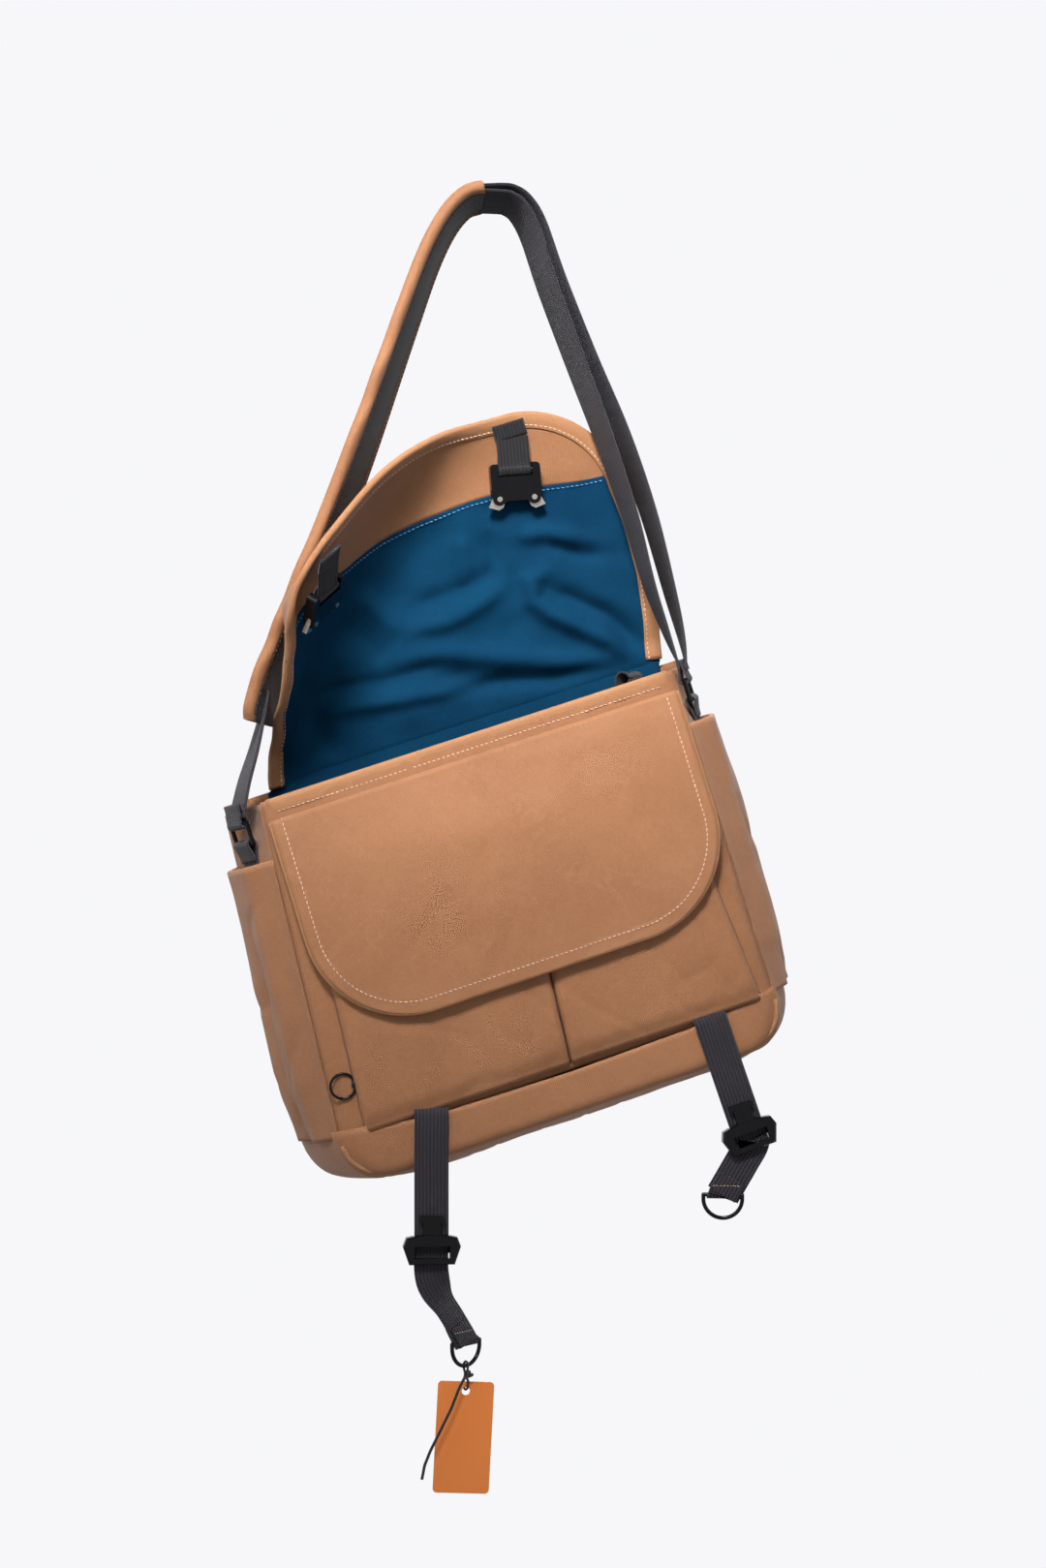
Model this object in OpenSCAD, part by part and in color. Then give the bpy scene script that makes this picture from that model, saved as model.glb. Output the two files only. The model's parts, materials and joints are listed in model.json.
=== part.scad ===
// Messenger bag hanging by its shoulder strap, with its main flap thrown open.
// Millimetres, +Z up. The origin is where the strap bears on what it hangs from.
// The bag's own frame has X along its mouth, Y from front to back, Z up its height.

/* [Bag body] */
// Width of the front panel at the mouth
mouth_w = 316; // [300:1:330]
// Height of the front panel, from the mouth to the base seam
body_h = 252; // [240:1:262]
// Height of the base band below that seam
band_h = 33; // [28:1:40]
// Depth of the bag from front to back
depth = 98; // [94:1:104]
// Extra half-width of the back panel over the front panel
splay = 24; // [18:1:28]
// Extra half-width of the base over the mouth
base_flare = 9; // [0:1:12]
// Sideways sag of the base as the bag hangs tilted
base_shift = -11; // [-14:1:0]
// Tilt of the hanging bag
bag_tilt = 18; // [10:1:20]

/* [Fabric] */
// Thickness of a canvas wall
wall_t = 2.4; // [1.8:0.1:3]
// Thickness of the lining cloth
lining_t = 1.4; // [1:0.1:1.8]
// Thickness of the webbing
web_t = 2.2; // [1.6:0.1:2.6]

/* [Main flap] */
// Length of the flap from its hinge to its free edge
flap_h = 218; // [210:1:230]
// Half-width of the flap
flap_hw = 160; // [150:1:161]
// Height of the fold line that lies over the front of the mouth
fold_h = 124; // [122:1:130]
// Radius of the two free corners
flap_r = 65; // [50:1:75]
// Forward lean of the open flap
flap_lean = 6; // [4:1:8]
// Angle of the diagonal crease of the curled corner
crease_a = 42; // [40:1:44]
// How far the curled corner is folded forward
wing_fold = 64; // [55:1:66]

/* [Front pocket] */
// Height of the pocket flap
pocket_flap_h = 164; // [150:1:170]
// Height of the two pouches
pouch_h = 146; // [130:1:150]
// Depth of the hollow in a pouch
pouch_d = 5.2; // [4.6:0.1:5.6]

/* [Webbing and buckles] */
// Width of the buckle webbing
web_w = 25; // [20:1:25]
// Width of the shoulder webbing
strap_w = 38; // [34:1:40]
// Width of the shoulder pad
pad_w = 52; // [46:1:56]
// Distance of each buckle from the middle of the bag
buckle_x = 108; // [104:1:110]
// Width of a female buckle
buckle_w = 38; // [36:1:40]
// Length of a female buckle
buckle_h = 26; // [25:1:28]
// Wire diameter of the small rings
wire_d = 3; // [2.4:0.1:3]

/* [Tag] */
// Width of the card tag
tag_w = 41; // [36:1:46]
// Height of the card tag
tag_h = 81; // [70:1:90]
// Diameter of the tag's cord
cord_d = 2.2; // [1.8:0.1:2.4]

/* [Hidden] */

tan_canvas = "#b98a5a";
teal_cloth = "#1f5a80";
charcoal = "#3a363d";
black_metal = "#1a1a1c";
silver = "#d8d2c4";
orange_card = "#f08c4a";

// Middle of the front edge of the mouth
bag_x = -25;
bag_z = -398;
front_y = -depth / 2;
back_y = depth / 2;
clear = 0.3;
seam_t = 0.01;
corner_r = 28;

// Half-width, with the sideways sag, of the front panel at height z
function front_x(s, z) = s * (mouth_w / 2 - base_flare * z / body_h) - base_shift * z / body_h;
function back_x(s, z) = front_x(s, z) + s * splay;

function arc(cx, cy, r, a0, a1, n = 10) =
    [for (i = [0:n]) [cx + r * cos(a0 + (a1 - a0) * i / n), cy + r * sin(a0 + (a1 - a0) * i / n)]];

function unit(v) = v / norm(v);

module in_bag() translate([bag_x, 0, bag_z]) rotate([0, -bag_tilt, 0]) children();

// A plate with its outline in X and Z, between two values of Y
module plate(outline, y0, y1)
    translate([0, y1, 0]) rotate([90, 0, 0]) linear_extrude(y1 - y0) polygon(outline);

// ---- bag body ----

function panel_outline(hw_extra, top) = [
    [front_x(-1, 0) - hw_extra, top], [front_x(1, 0) + hw_extra, top],
    [front_x(1, -body_h) + hw_extra, -body_h], [front_x(-1, -body_h) - hw_extra, -body_h]];

module front_panel()
    color(tan_canvas) in_bag() plate(panel_outline(0, 0), front_y, front_y + wall_t);

back_top = 4;
module back_panel()
    color(tan_canvas) in_bag() plate(panel_outline(splay, back_top), back_y - wall_t, back_y);

// A side wall between two heights, moved outward by out
module side_wall(s, out, t, z0, z1)
    hull() for (z = [z0, z1]) {
        translate([front_x(s, z) + s * (out - t / 2) - t / 2, front_y + wall_t, z])
            cube([t, seam_t, seam_t]);
        translate([back_x(s, z) + s * (out - t / 2) - t / 2, back_y - wall_t - seam_t, z])
            cube([t, seam_t, seam_t]);
    }

gusset_top = -4;
module gusset(s) color(tan_canvas) in_bag() side_wall(s, 0, wall_t, -body_h, gusset_top);

// A body that fills the base band, shrunk by inset on every side
module base_block(inset, top)
    hull() for (s = [-1, 1]) {
        translate([front_x(s, -body_h) - s * corner_r, front_y + inset, -body_h - band_h + corner_r])
            rotate([-90, 0, 0]) cylinder(r = corner_r - inset, h = seam_t, $fn = 32);
        translate([back_x(s, -body_h) - s * corner_r, back_y - inset, -body_h - band_h + corner_r])
            rotate([90, 0, 0]) cylinder(r = corner_r - inset, h = seam_t, $fn = 32);
        translate([front_x(s, -body_h) - s * (inset + 0.5), front_y + inset, top - 1])
            cube([seam_t, seam_t, 1]);
        translate([back_x(s, -body_h) - s * (inset + 0.5), back_y - inset - seam_t, top - 1])
            cube([seam_t, seam_t, 1]);
    }

module base_band() color(tan_canvas) in_bag() difference() {
    base_block(0, -body_h);
    base_block(wall_t, -body_h + 2);
    translate([-mouth_w, -depth, -body_h]) cube([2 * mouth_w, 2 * depth, 2 * corner_r]);
}

piping_d = 4;
module base_piping() color(tan_canvas) in_bag() {
    x0 = front_x(-1, -body_h) + corner_r;
    x1 = front_x(1, -body_h) - corner_r;
    translate([x0, front_y - piping_d / 2 - 0.05, -body_h - band_h + piping_d])
        rotate([0, 90, 0]) cylinder(d = piping_d, h = x1 - x0, $fn = 24);
}

// A block that fills the inside of the bag, shrunk by inset
module inner_block(inset, z0, z1)
    hull() for (s = [-1, 1], z = [z0, z1]) {
        translate([front_x(s, z) - s * inset, front_y + inset, z]) cube(seam_t);
        translate([back_x(s, z) - s * inset, back_y - inset, z]) cube(seam_t);
    }

lining_gap = wall_t + 0.8;
lining_floor = -body_h + 2;
module main_lining() color(teal_cloth) in_bag() difference() {
    inner_block(lining_gap, lining_floor, gusset_top - 2);
    inner_block(lining_gap + lining_t, lining_floor + lining_t, gusset_top + 10);
}

binding_w = 12;
binding_t = 0.8;
module front_rim_binding() color(tan_canvas) in_bag() difference() {
    plate([[front_x(-1, 0), -binding_w], [front_x(1, 0), -binding_w],
           [front_x(1, 0), binding_t], [front_x(-1, 0), binding_t]],
          front_y - binding_t, front_y + wall_t + binding_t);
    plate([[-mouth_w, -2 * binding_w], [mouth_w, -2 * binding_w], [mouth_w, 0], [-mouth_w, 0]],
          front_y, front_y + wall_t);
    plate([[-mouth_w, -2 * binding_w], [mouth_w, -2 * binding_w],
           [mouth_w, gusset_top + 1], [-mouth_w, gusset_top + 1]],
          front_y + wall_t, front_y + wall_t + 2 * binding_t);
}

// Webbing tab standing up inside the mouth at the right
module mouth_tab() color(charcoal) in_bag()
    translate([mouth_w / 2 - 34, front_y + 22, -24]) rotate([0, 12, 0]) cube([16, web_t, 29]);

// ---- front pouches ----

pouch_foot = -body_h + 9;
pouch_gap = 1.5;
pouch_t = 1.6;
module pouch(x0, x1) color(tan_canvas) in_bag() difference() {
    plate([[x0, pouch_foot], [x1, pouch_foot], [x1, pouch_foot + pouch_h], [x0, pouch_foot + pouch_h]],
          front_y - pouch_d - pouch_t, front_y);
    plate([[x0 + pouch_t, pouch_foot + pouch_t], [x1 - pouch_t, pouch_foot + pouch_t],
           [x1 - pouch_t, 0], [x0 + pouch_t, 0]], front_y - pouch_d, front_y + 1);
}

pouch_mid = 0;
left_pouch_inset = 21;
right_pouch_inset = 15;
pouch_x0 = front_x(-1, -200) + left_pouch_inset;
pouch_x1 = front_x(1, -200) - right_pouch_inset;
module left_pouch() pouch(pouch_x0, pouch_mid - pouch_gap / 2);
module right_pouch() pouch(pouch_mid + pouch_gap / 2, pouch_x1);

// ---- side pockets and strap anchors ----

side_pocket_top = -42;
side_pocket_foot = -244;
side_pocket_bulge = 15;

module side_bulge(s, out, inset, inward, z0, z1)
    hull() for (z = [z0, z1]) {
        translate([front_x(s, z) + s * inward, front_y + wall_t + inset, z]) cube(seam_t);
        translate([back_x(s, z) + s * inward, back_y - wall_t - inset, z]) cube(seam_t);
        for (k = [0.3, 0.7])
            translate([front_x(s, z) + s * (splay * k + out), front_y + depth * k, z]) cube(seam_t);
    }

pocket_edge = 3;
module side_pocket(s) color(tan_canvas) in_bag() difference() {
    side_bulge(s, side_pocket_bulge, 0, clear, side_pocket_foot, side_pocket_top);
    side_bulge(s, side_pocket_bulge - wall_t, pocket_edge, -2, side_pocket_foot + wall_t, side_pocket_top + 5);
}

// Outer face of a side pocket near the back of the bag
function pocket_face_x(s, y, z) =
    let (near = front_y + 0.7 * depth, share = (y - near) / (back_y - wall_t - near))
    front_x(s, z) + s * (splay * 0.7 + side_pocket_bulge
                         + share * (splay * 0.3 - side_pocket_bulge + clear));

// A slab on the left side pocket, from one distance off its face to another
module label_slab(near, far, y0, y1, z0, z1)
    hull() for (y = [y0, y1], z = [z0, z1], out = [near, far])
        translate([pocket_face_x(-1, y, z) - out, y, z]) cube(seam_t);

label_y = [back_y - 16, back_y - 4];
label_z = [-74, -46];
label_t = 3.2;
label_fold_t = 1;
module side_label() color(charcoal) in_bag() difference() {
    label_slab(clear, clear + label_t, label_y[0], label_y[1], label_z[0], label_z[1]);
    label_slab(clear + label_fold_t, clear + label_t - label_fold_t, label_y[0] - 1, label_y[1] + 1,
               label_z[0] + 2, label_z[1] + 2);
}

// The loops that carry the bag lie just off its sides, at mid-depth
loop_wire = 3.4;
sleeve_d = loop_wire + 4.6;
ring_z = -18;
ring_gap = 8;
ring_out = sleeve_d / 2 + 0.6;
function ring_x(s) = front_x(s, ring_z - ring_gap) + s * (splay / 2 + ring_out);
anchor_top = -44;
anchor_foot = -80;
side_turn = atan(splay / depth);
module at_side(s) in_bag() translate([ring_x(s), 0, 0]) rotate([0, 0, -s * side_turn]) children();
module anchor(s) color(charcoal) in_bag() intersection() {
    side_wall(s, web_t + clear, web_t, anchor_foot, anchor_top);
    translate([-mouth_w, -strap_w / 2, 2 * anchor_foot]) cube([2 * mouth_w, strap_w, -2 * anchor_foot]);
}

// ---- key ring by the left pouch ----

key_r = 9;
key_wire = 2;
key_z = -212;
key_y = front_y - 3.4;
key_tube = 5;
key_tube_h = 4;
key_x = pouch_x0 - key_r - key_tube / 2 - 0.6;
module key_ring() color(black_metal) in_bag()
    translate([key_x, key_y, key_z]) rotate([90, 0, 0])
        rotate_extrude($fn = 48) translate([key_r, 0]) circle(d = key_wire, $fn = 16);

module key_ring_tab() color(charcoal) in_bag() translate([key_x + key_r, key_y, key_z])
    difference() {
        union() {
            cylinder(d = key_tube, h = key_tube_h, center = true, $fn = 24);
            translate([0, key_tube / 2 - 1.6, -key_tube_h / 2]) cube([key_tube / 2 + 0.4, 1.6, key_tube_h]);
        }
        cylinder(d = key_wire + 1.4, h = 2 * key_tube_h, center = true, $fn = 24);
    }

// ---- pocket flap ----

pf_y = front_y - 4.5;
pf_z = -13;
pf_lean = 3.5;
pf_r = 76;
pf_x = base_shift / 3;
pf_hw = mouth_w / 2 - 1;
module in_pocket_flap() in_bag() translate([0, pf_y, pf_z]) rotate([-pf_lean, 0, 0]) children();

function pf_outline(inset) = concat(
    [[-pf_hw + inset, -1], [pf_hw - inset, -1]],
    arc(pf_x + pf_hw - pf_r, -pocket_flap_h + pf_r, pf_r - inset, 0, -90),
    arc(pf_x - pf_hw + pf_r, -pocket_flap_h + pf_r, pf_r - inset, -90, -180));

module pocket_flap_panel() color(tan_canvas) in_pocket_flap() plate(pf_outline(0), -1.2, 1.2);

module pocket_flap_binding() color(tan_canvas) in_pocket_flap() difference() {
    plate(pf_outline(0), -1.2 - binding_t, -1.2);
    translate([0, 0, 2]) plate(pf_outline(binding_w), -5, 5);
}

// ---- main flap ----

hinge_y = back_y - 3;
hinge_z = 8;
canvas_t = 1.8;
crease_gap = 3;
fold_gap = 2.6;
crease_u = [cos(crease_a), 0, sin(crease_a)];
module in_flap() in_bag() translate([0, hinge_y, hinge_z]) rotate([flap_lean, 0, 0]) children();
module in_wing() in_flap() translate([-flap_hw, 0, 0]) rotate(a = wing_fold, v = crease_u)
    translate([flap_hw, 0, 0]) children();

function crease_x(h) = -flap_hw + h / tan(crease_a);
crease_cut = crease_gap / sin(crease_a);

flap_top_outline = [
    [crease_x(2) + crease_cut, 2], [flap_hw, 2], [flap_hw, fold_h - fold_gap],
    [crease_x(fold_h - fold_gap) + crease_cut, fold_h - fold_gap]];

flap_front_outline = concat(
    [[crease_x(fold_h + fold_gap) + crease_cut, fold_h + fold_gap], [flap_hw, fold_h + fold_gap]],
    arc(flap_hw - flap_r, flap_h - flap_r, flap_r, 0, 90),
    [[crease_x(flap_h) + crease_cut, flap_h]]);

// The facing strip along the free edge is above this arc
seam_rise = 26;
seam_r = (flap_hw * flap_hw + seam_rise * seam_rise) / (2 * seam_rise);
seam_top = flap_h - 58;
module above_seam(y0, y1) difference() {
    plate([[-flap_hw, 0], [flap_hw, 0], [flap_hw, flap_h], [-flap_hw, flap_h]], y0, y1);
    translate([0, y1 + 1, seam_top - seam_r]) rotate([90, 0, 0])
        cylinder(r = seam_r, h = y1 - y0 + 2, $fn = 160);
}

module flap_top_canvas() color(tan_canvas) in_flap() plate(flap_top_outline, 0, canvas_t);
module flap_top_lining() color(teal_cloth) in_flap() plate(flap_top_outline, -lining_t, 0);
module flap_front_canvas() color(tan_canvas) in_flap() plate(flap_front_outline, 0, canvas_t);

module lining_of(outline) difference() {
    plate(outline, -lining_t, 0);
    above_seam(-lining_t - 1, 1);
}
module facing_of(outline) intersection() {
    plate(outline, -lining_t, 0);
    above_seam(-lining_t - 1, 1);
}
module flap_front_lining() color(teal_cloth) in_flap() lining_of(flap_front_outline);
module flap_front_facing() color(tan_canvas) in_flap() facing_of(flap_front_outline);

// The curled corner: a strip by the crease below the fold line, narrower beside the shoulder pad, and a
// plate above it. Each pair is a distance along the crease and one out from it.
wing_strip_w = 30;
wing_neck_w = 14;
wing_strip_outline = [for (p = [[34, crease_gap], [118, crease_gap], [118, wing_strip_w],
                                [96, wing_strip_w], [86, wing_neck_w], [42, wing_neck_w]])
    [-flap_hw + p[0] * cos(crease_a) - p[1] * sin(crease_a), p[0] * sin(crease_a) + p[1] * cos(crease_a)]];
wing_foot_h = fold_h + 8;
wing_front_outline = concat(
    [[crease_x(wing_foot_h) - crease_cut, wing_foot_h], [crease_x(flap_h) - crease_cut, flap_h]],
    arc(-flap_hw + flap_r, flap_h - flap_r, flap_r, 90, 180));

module wing_top_canvas() color(tan_canvas) in_wing() plate(wing_strip_outline, -lining_t, canvas_t);
module wing_front_canvas() color(tan_canvas) in_wing() plate(wing_front_outline, 0, canvas_t);
module wing_front_lining() color(teal_cloth) in_wing() lining_of(wing_front_outline);
module wing_front_facing() color(tan_canvas) in_wing() facing_of(wing_front_outline);

// ---- female buckles on their webbing tabs ----

right_tab_h = flap_h - 22;
left_tab_h = flap_h - 14;
tab_y = -6.7;
tab_len = 22;
tab_turn = 13;
root_t = 3;
module in_right_root() in_flap() translate([buckle_x, tab_y, right_tab_h]) children();
module in_left_tab() in_wing() translate([-buckle_x, tab_y, left_tab_h]) children();
// The right tab hangs plumb from its root, on the tilted flap
module in_right_tab() in_right_root() rotate([0, tab_turn, 0]) children();

module tab_root() color(charcoal)
    translate([-web_w / 2, -lining_t - root_t - tab_y, 1.4]) cube([web_w, root_t, 9]);
module right_tab_root() in_right_root() tab_root();
module left_tab_root() in_left_tab() tab_root();

bar_z = -tab_len - 2;
bar_d = 4;
module tab() color(charcoal) {
    rotate([0, 90, 0]) cylinder(d = web_t, h = web_w, center = true, $fn = 24);
    translate([-web_w / 2, -web_t / 2, -tab_len + 2]) cube([web_w, web_t, tab_len - 2]);
    translate([0, 0, bar_z]) difference() {
        union() {
            rotate([0, 90, 0]) cylinder(d = 7.6, h = web_w, center = true, $fn = 32);
            translate([-web_w / 2, -web_t / 2, 0]) cube([web_w, web_t, 5]);
        }
        rotate([0, 90, 0]) cylinder(d = bar_d + 0.6, h = web_w + 2, center = true, $fn = 32);
    }
}

body_t = 8.2;
slot_w = web_w + 1;
slot_z0 = bar_z - 4.6;
slot_z1 = bar_z + 4.6;
female_top = bar_z + 5.2;
female_foot = bar_z - buckle_h;
socket_t = 4.6;
rivet_x = 13.2;
rivet_z = female_foot + 5;
rivet_d = 4;
lobe_r = 5;
notch_z = female_foot + 3.2;
female_outline = concat(
    arc(-buckle_w / 2 + 3, female_top - 3, 3, 180, 90, 4),
    arc(buckle_w / 2 - 3, female_top - 3, 3, 90, 0, 4),
    [[buckle_w / 2, female_foot + 10]],
    arc(rivet_x, rivet_z, lobe_r, 0, -110, 5),
    [[7.5, notch_z], [-7.5, notch_z]],
    arc(-rivet_x, rivet_z, lobe_r, -70, -180, 5),
    [[-buckle_w / 2, female_foot + 10]]);

module female_body() color(black_metal) {
    difference() {
        plate(female_outline, -body_t / 2, body_t / 2);
        plate([[-slot_w / 2, slot_z0], [slot_w / 2, slot_z0], [slot_w / 2, female_top + 1],
               [-slot_w / 2, female_top + 1]], -body_t, body_t);
        plate([[-buckle_w, female_foot - 1], [buckle_w, female_foot - 1], [buckle_w, female_foot + 12],
               [-buckle_w, female_foot + 12]], -socket_t / 2, socket_t / 2);
        plate([[-11, female_foot - 1], [11, female_foot - 1], [11, slot_z0 - 4], [-11, slot_z0 - 4]],
              -socket_t / 2, socket_t / 2);
        for (s = [-1, 1]) translate([s * rivet_x, -body_t, rivet_z]) rotate([-90, 0, 0])
            cylinder(d = rivet_d + 0.1, h = 2 * body_t, $fn = 24);
    }
    translate([-slot_w / 2 - 1, 0, bar_z]) rotate([0, 90, 0])
        cylinder(d = bar_d, h = slot_w + 2, $fn = 24);
}

module rivets() color(silver) for (s = [-1, 1])
    translate([s * rivet_x, -body_t / 2 - 0.5, rivet_z]) rotate([-90, 0, 0])
        cylinder(d = rivet_d, h = body_t + 1, $fn = 24);

// Latch lever in the side of the buckle, on side s
latch_t = 3.6;
module latch(s) color(silver) difference() {
    plate([for (p = [[9.6, 4], [16, 3.8], [18.6, 0], [21.6, -5.8], [14, -8.3], [10.6, -6.5], [9, -2]])
           [s * p[0], rivet_z + p[1]]], -latch_t / 2, latch_t / 2);
    translate([s * rivet_x, -body_t, rivet_z]) rotate([-90, 0, 0])
        cylinder(d = rivet_d + 0.6, h = 2 * body_t, $fn = 24);
}

// ---- drop straps with the male buckles ----

drop_y = front_y - piping_d - 1.6;
drop_z = -body_h + 2;
module in_left_drop() in_bag() translate([-buckle_x - 2, drop_y, drop_z])
    rotate([0, bag_tilt, 0]) children();
module in_right_drop() in_bag() translate([buckle_x - 3, drop_y, drop_z]) rotate([0, -1, 0]) children();

module drop_anchors() color(charcoal) in_bag() for (x = [-buckle_x - 2, buckle_x - 3])
    translate([x - web_w / 2, front_y - 4, drop_z - 1.5]) cube([web_w, 3.9, 3.5]);

// A flat band swept along centres: across gives its width direction at each one
function band_ring(c, across, w, t, off, i) =
    let (n = len(c) - 1,
         tangent = unit(c[min(i + 1, n)] - c[max(i - 1, 0)]),
         side = unit(across[i] - (across[i] * tangent) * tangent),
         normal = cross(tangent, side),
         m = c[i] + off * normal)
    [m - side * w / 2 - normal * t / 2, m + side * w / 2 - normal * t / 2,
     m + side * w / 2 + normal * t / 2, m - side * w / 2 + normal * t / 2];

module band(c, across, w, t, off = 0) {
    n = len(c);
    points = [for (i = [0:n - 1]) each band_ring(c, across, w, t, off, i)];
    sides = [for (i = [0:n - 2], k = [0:3])
        let (a = 4 * i + k, b = 4 * i + (k + 1) % 4) each [[a, b + 4, b], [a, a + 4, b + 4]]];
    last = 4 * (n - 1);
    polyhedron(points, concat([[0, 1, 2], [0, 2, 3]], sides,
                              [[last + 2, last + 1, last], [last + 3, last + 2, last]]));
}

// Smooth curve through the points p, with steps points for each span
function spline_at(p, i, t) =
    let (n = len(p) - 1, a = p[max(i - 1, 0)], b = p[i], c = p[i + 1], d = p[min(i + 2, n)])
    0.5 * (2 * b + (c - a) * t + (2 * a - 5 * b + 4 * c - d) * t * t + (3 * b - a - 3 * c + d) * t * t * t);
function spline(p, steps) = concat(
    [for (i = [0:len(p) - 2], k = [0:steps - 1]) spline_at(p, i, k / steps)], [p[len(p) - 1]]);

// On its way to the ring bar at foot the tail turns by twist about its length and leans by lean
tail_steps = 6;
sleeve_reach = 3;
module drop_web(straight, foot, twist, lean) color(charcoal) {
    rotate([0, 90, 0]) cylinder(d = web_t, h = web_w, center = true, $fn = 24);
    translate([-web_w / 2, -web_t / 2, -straight]) cube([web_w, web_t, straight]);
    start = [0, 0, -straight];
    end = foot + sleeve_reach * [cos(twist) * sin(lean), sin(twist) * sin(lean), cos(lean)];
    for (i = [0:tail_steps - 1]) hull() for (k = [i, i + 1])
        translate(start + (end - start) * k / tail_steps)
            rotate([0, lean * k / tail_steps, twist * k / tail_steps])
                cube([web_w - 0.4, web_t, 0.4], center = true);
    translate(foot) rotate([0, lean, twist]) ring_sleeve();
}

module ring_sleeve() difference() {
    rotate([0, 90, 0]) cylinder(d = wire_d + 4.4, h = web_w - 3, center = true, $fn = 32);
    rotate([0, 90, 0]) cylinder(d = wire_d + 1, h = web_w, center = true, $fn = 32);
}

left_straight = 118;
left_foot = [25, 0, -167];
left_twist = 40;
right_straight = 108;
right_foot = [-33, 0, -126];
right_twist = -12;
right_lean = bag_tilt + 1;
module left_drop_web() in_left_drop() drop_web(left_straight, left_foot, left_twist, 0);
module right_drop_web() in_right_drop() drop_web(right_straight, right_foot, right_twist, right_lean);

// Male buckle: a chamfered frame round the webbing, with a hammer-head tongue above it
male_w = 42;
male_h = 22;
male_front = -6.4;
male_back = web_t / 2 + 0.4;
chamfer = 1.4;
channel_w = web_w + 1;
window_z = [-6.5, 2.5];
neck_w = 13;
head_w = 18;
head_z = male_h / 2 + 9;
tongue_top = male_h / 2 + 13.5;
male_half = [[16.5, -male_h / 2], [male_w / 2, 2], [18.5, 8.5], [12, 8.5], [neck_w / 2, male_h / 2]];
function mirrored(half, scale) = concat(
    [for (p = half) p * scale],
    [for (i = [len(half) - 1:-1:0]) [-half[i][0], half[i][1]] * scale]);

module male_buckle() color(black_metal) {
    difference() {
        hull() {
            plate(mirrored(male_half, 1 - chamfer / 20), male_front, male_back);
            plate(mirrored(male_half, 1), male_front + chamfer, male_back);
        }
        plate([[-channel_w / 2, window_z[0]], [channel_w / 2, window_z[0]],
               [channel_w / 2, window_z[1]], [-channel_w / 2, window_z[1]]], -20, 20);
        plate([[-channel_w / 2, -male_h], [channel_w / 2, -male_h],
               [channel_w / 2, male_h], [-channel_w / 2, male_h]], -male_back, 20);
    }
    // Keeper bar behind the webbing
    plate([[-male_w / 2 + 2.5, -3.5], [male_w / 2 - 2.5, -3.5],
           [male_w / 2 - 2.5, 3.5], [-male_w / 2 + 2.5, 3.5]], male_back, male_back + 2.4);
    // Tongue
    plate(mirrored([[neck_w / 2, male_h / 2 - 1], [neck_w / 2, head_z], [head_w / 2, head_z + 0.6],
                    [head_w / 2, tongue_top - 1], [head_w / 2 - 1, tongue_top]], 1),
          male_front + 0.8, male_front + 4.4);
}

left_male_z = -99;
right_male_z = -91;
module left_male_buckle() in_left_drop() translate([0, 0, left_male_z]) male_buckle();
module right_male_buckle() in_right_drop() translate([0, 0, right_male_z]) male_buckle();

// D-ring whose straight bar lies in the tail's sleeve
d_ring_r = 14.2;
d_ring_leg = 3;
module d_ring() color(black_metal) {
    rotate([0, 90, 0]) cylinder(d = wire_d, h = 2 * d_ring_r, center = true, $fn = 24);
    for (s = [-1, 1]) translate([s * d_ring_r, 0, -d_ring_leg]) {
        cylinder(d = wire_d, h = d_ring_leg, $fn = 24);
        translate([0, 0, d_ring_leg]) sphere(d = wire_d, $fn = 24);
    }
    translate([0, 0, -d_ring_leg]) rotate([90, 0, 0]) rotate([0, 0, 180])
        rotate_extrude(angle = 180, $fn = 64) translate([d_ring_r, 0]) circle(d = wire_d, $fn = 24);
}
module left_ring() in_left_drop() translate(left_foot) rotate([0, 0, left_twist]) d_ring();
module right_ring() in_right_drop() translate(right_foot) rotate([0, right_lean, right_twist]) d_ring();

// ---- tag on its cord loop ----

// The tag's frame has its origin at the lowest point of the left ring
tag_lean = 3;
knot_d = 5;
card_t = 1;
loop_h = 25;
loop_w = 8;
hole_z = -18.5;
module in_tag() in_left_drop() translate(left_foot + [0, 0, -d_ring_leg - d_ring_r]) children();

module tag_card() color(orange_card) in_tag() translate([0, 0, hole_z]) rotate([0, tag_lean, 0])
    difference() {
        plate(concat(arc(-tag_w / 2 + 3, 4, 3, 180, 90, 4), arc(tag_w / 2 - 3, 4, 3, 90, 0, 4),
                     arc(tag_w / 2 - 3, 10 - tag_h, 3, 0, -90, 4),
                     arc(-tag_w / 2 + 3, 10 - tag_h, 3, -90, -180, 4)), -card_t / 2, card_t / 2);
        translate([0, -5, 0]) rotate([-90, 0, 0]) cylinder(d = 6, h = 10, $fn = 32);
    }

module stadium(w, h) {
    translate([0, h / 2 - w / 2]) circle(d = w, $fn = 32);
    translate([0, -h / 2 + w / 2]) circle(d = w, $fn = 32);
    square([w, h - w], center = true);
}
module tag_loop() color(charcoal) in_tag() {
    translate([0, 0, wire_d / 2 + 3 - loop_h / 2])
        rotate([90, 0, left_twist + 90]) translate([0, 0, -cord_d / 2]) linear_extrude(cord_d) difference() {
            stadium(loop_w, loop_h);
            stadium(loop_w - 2 * cord_d + 0.6, loop_h - 2 * cord_d + 0.6);
        }
    translate([2, -2.8, -6]) sphere(d = knot_d, $fn = 32);
}

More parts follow.
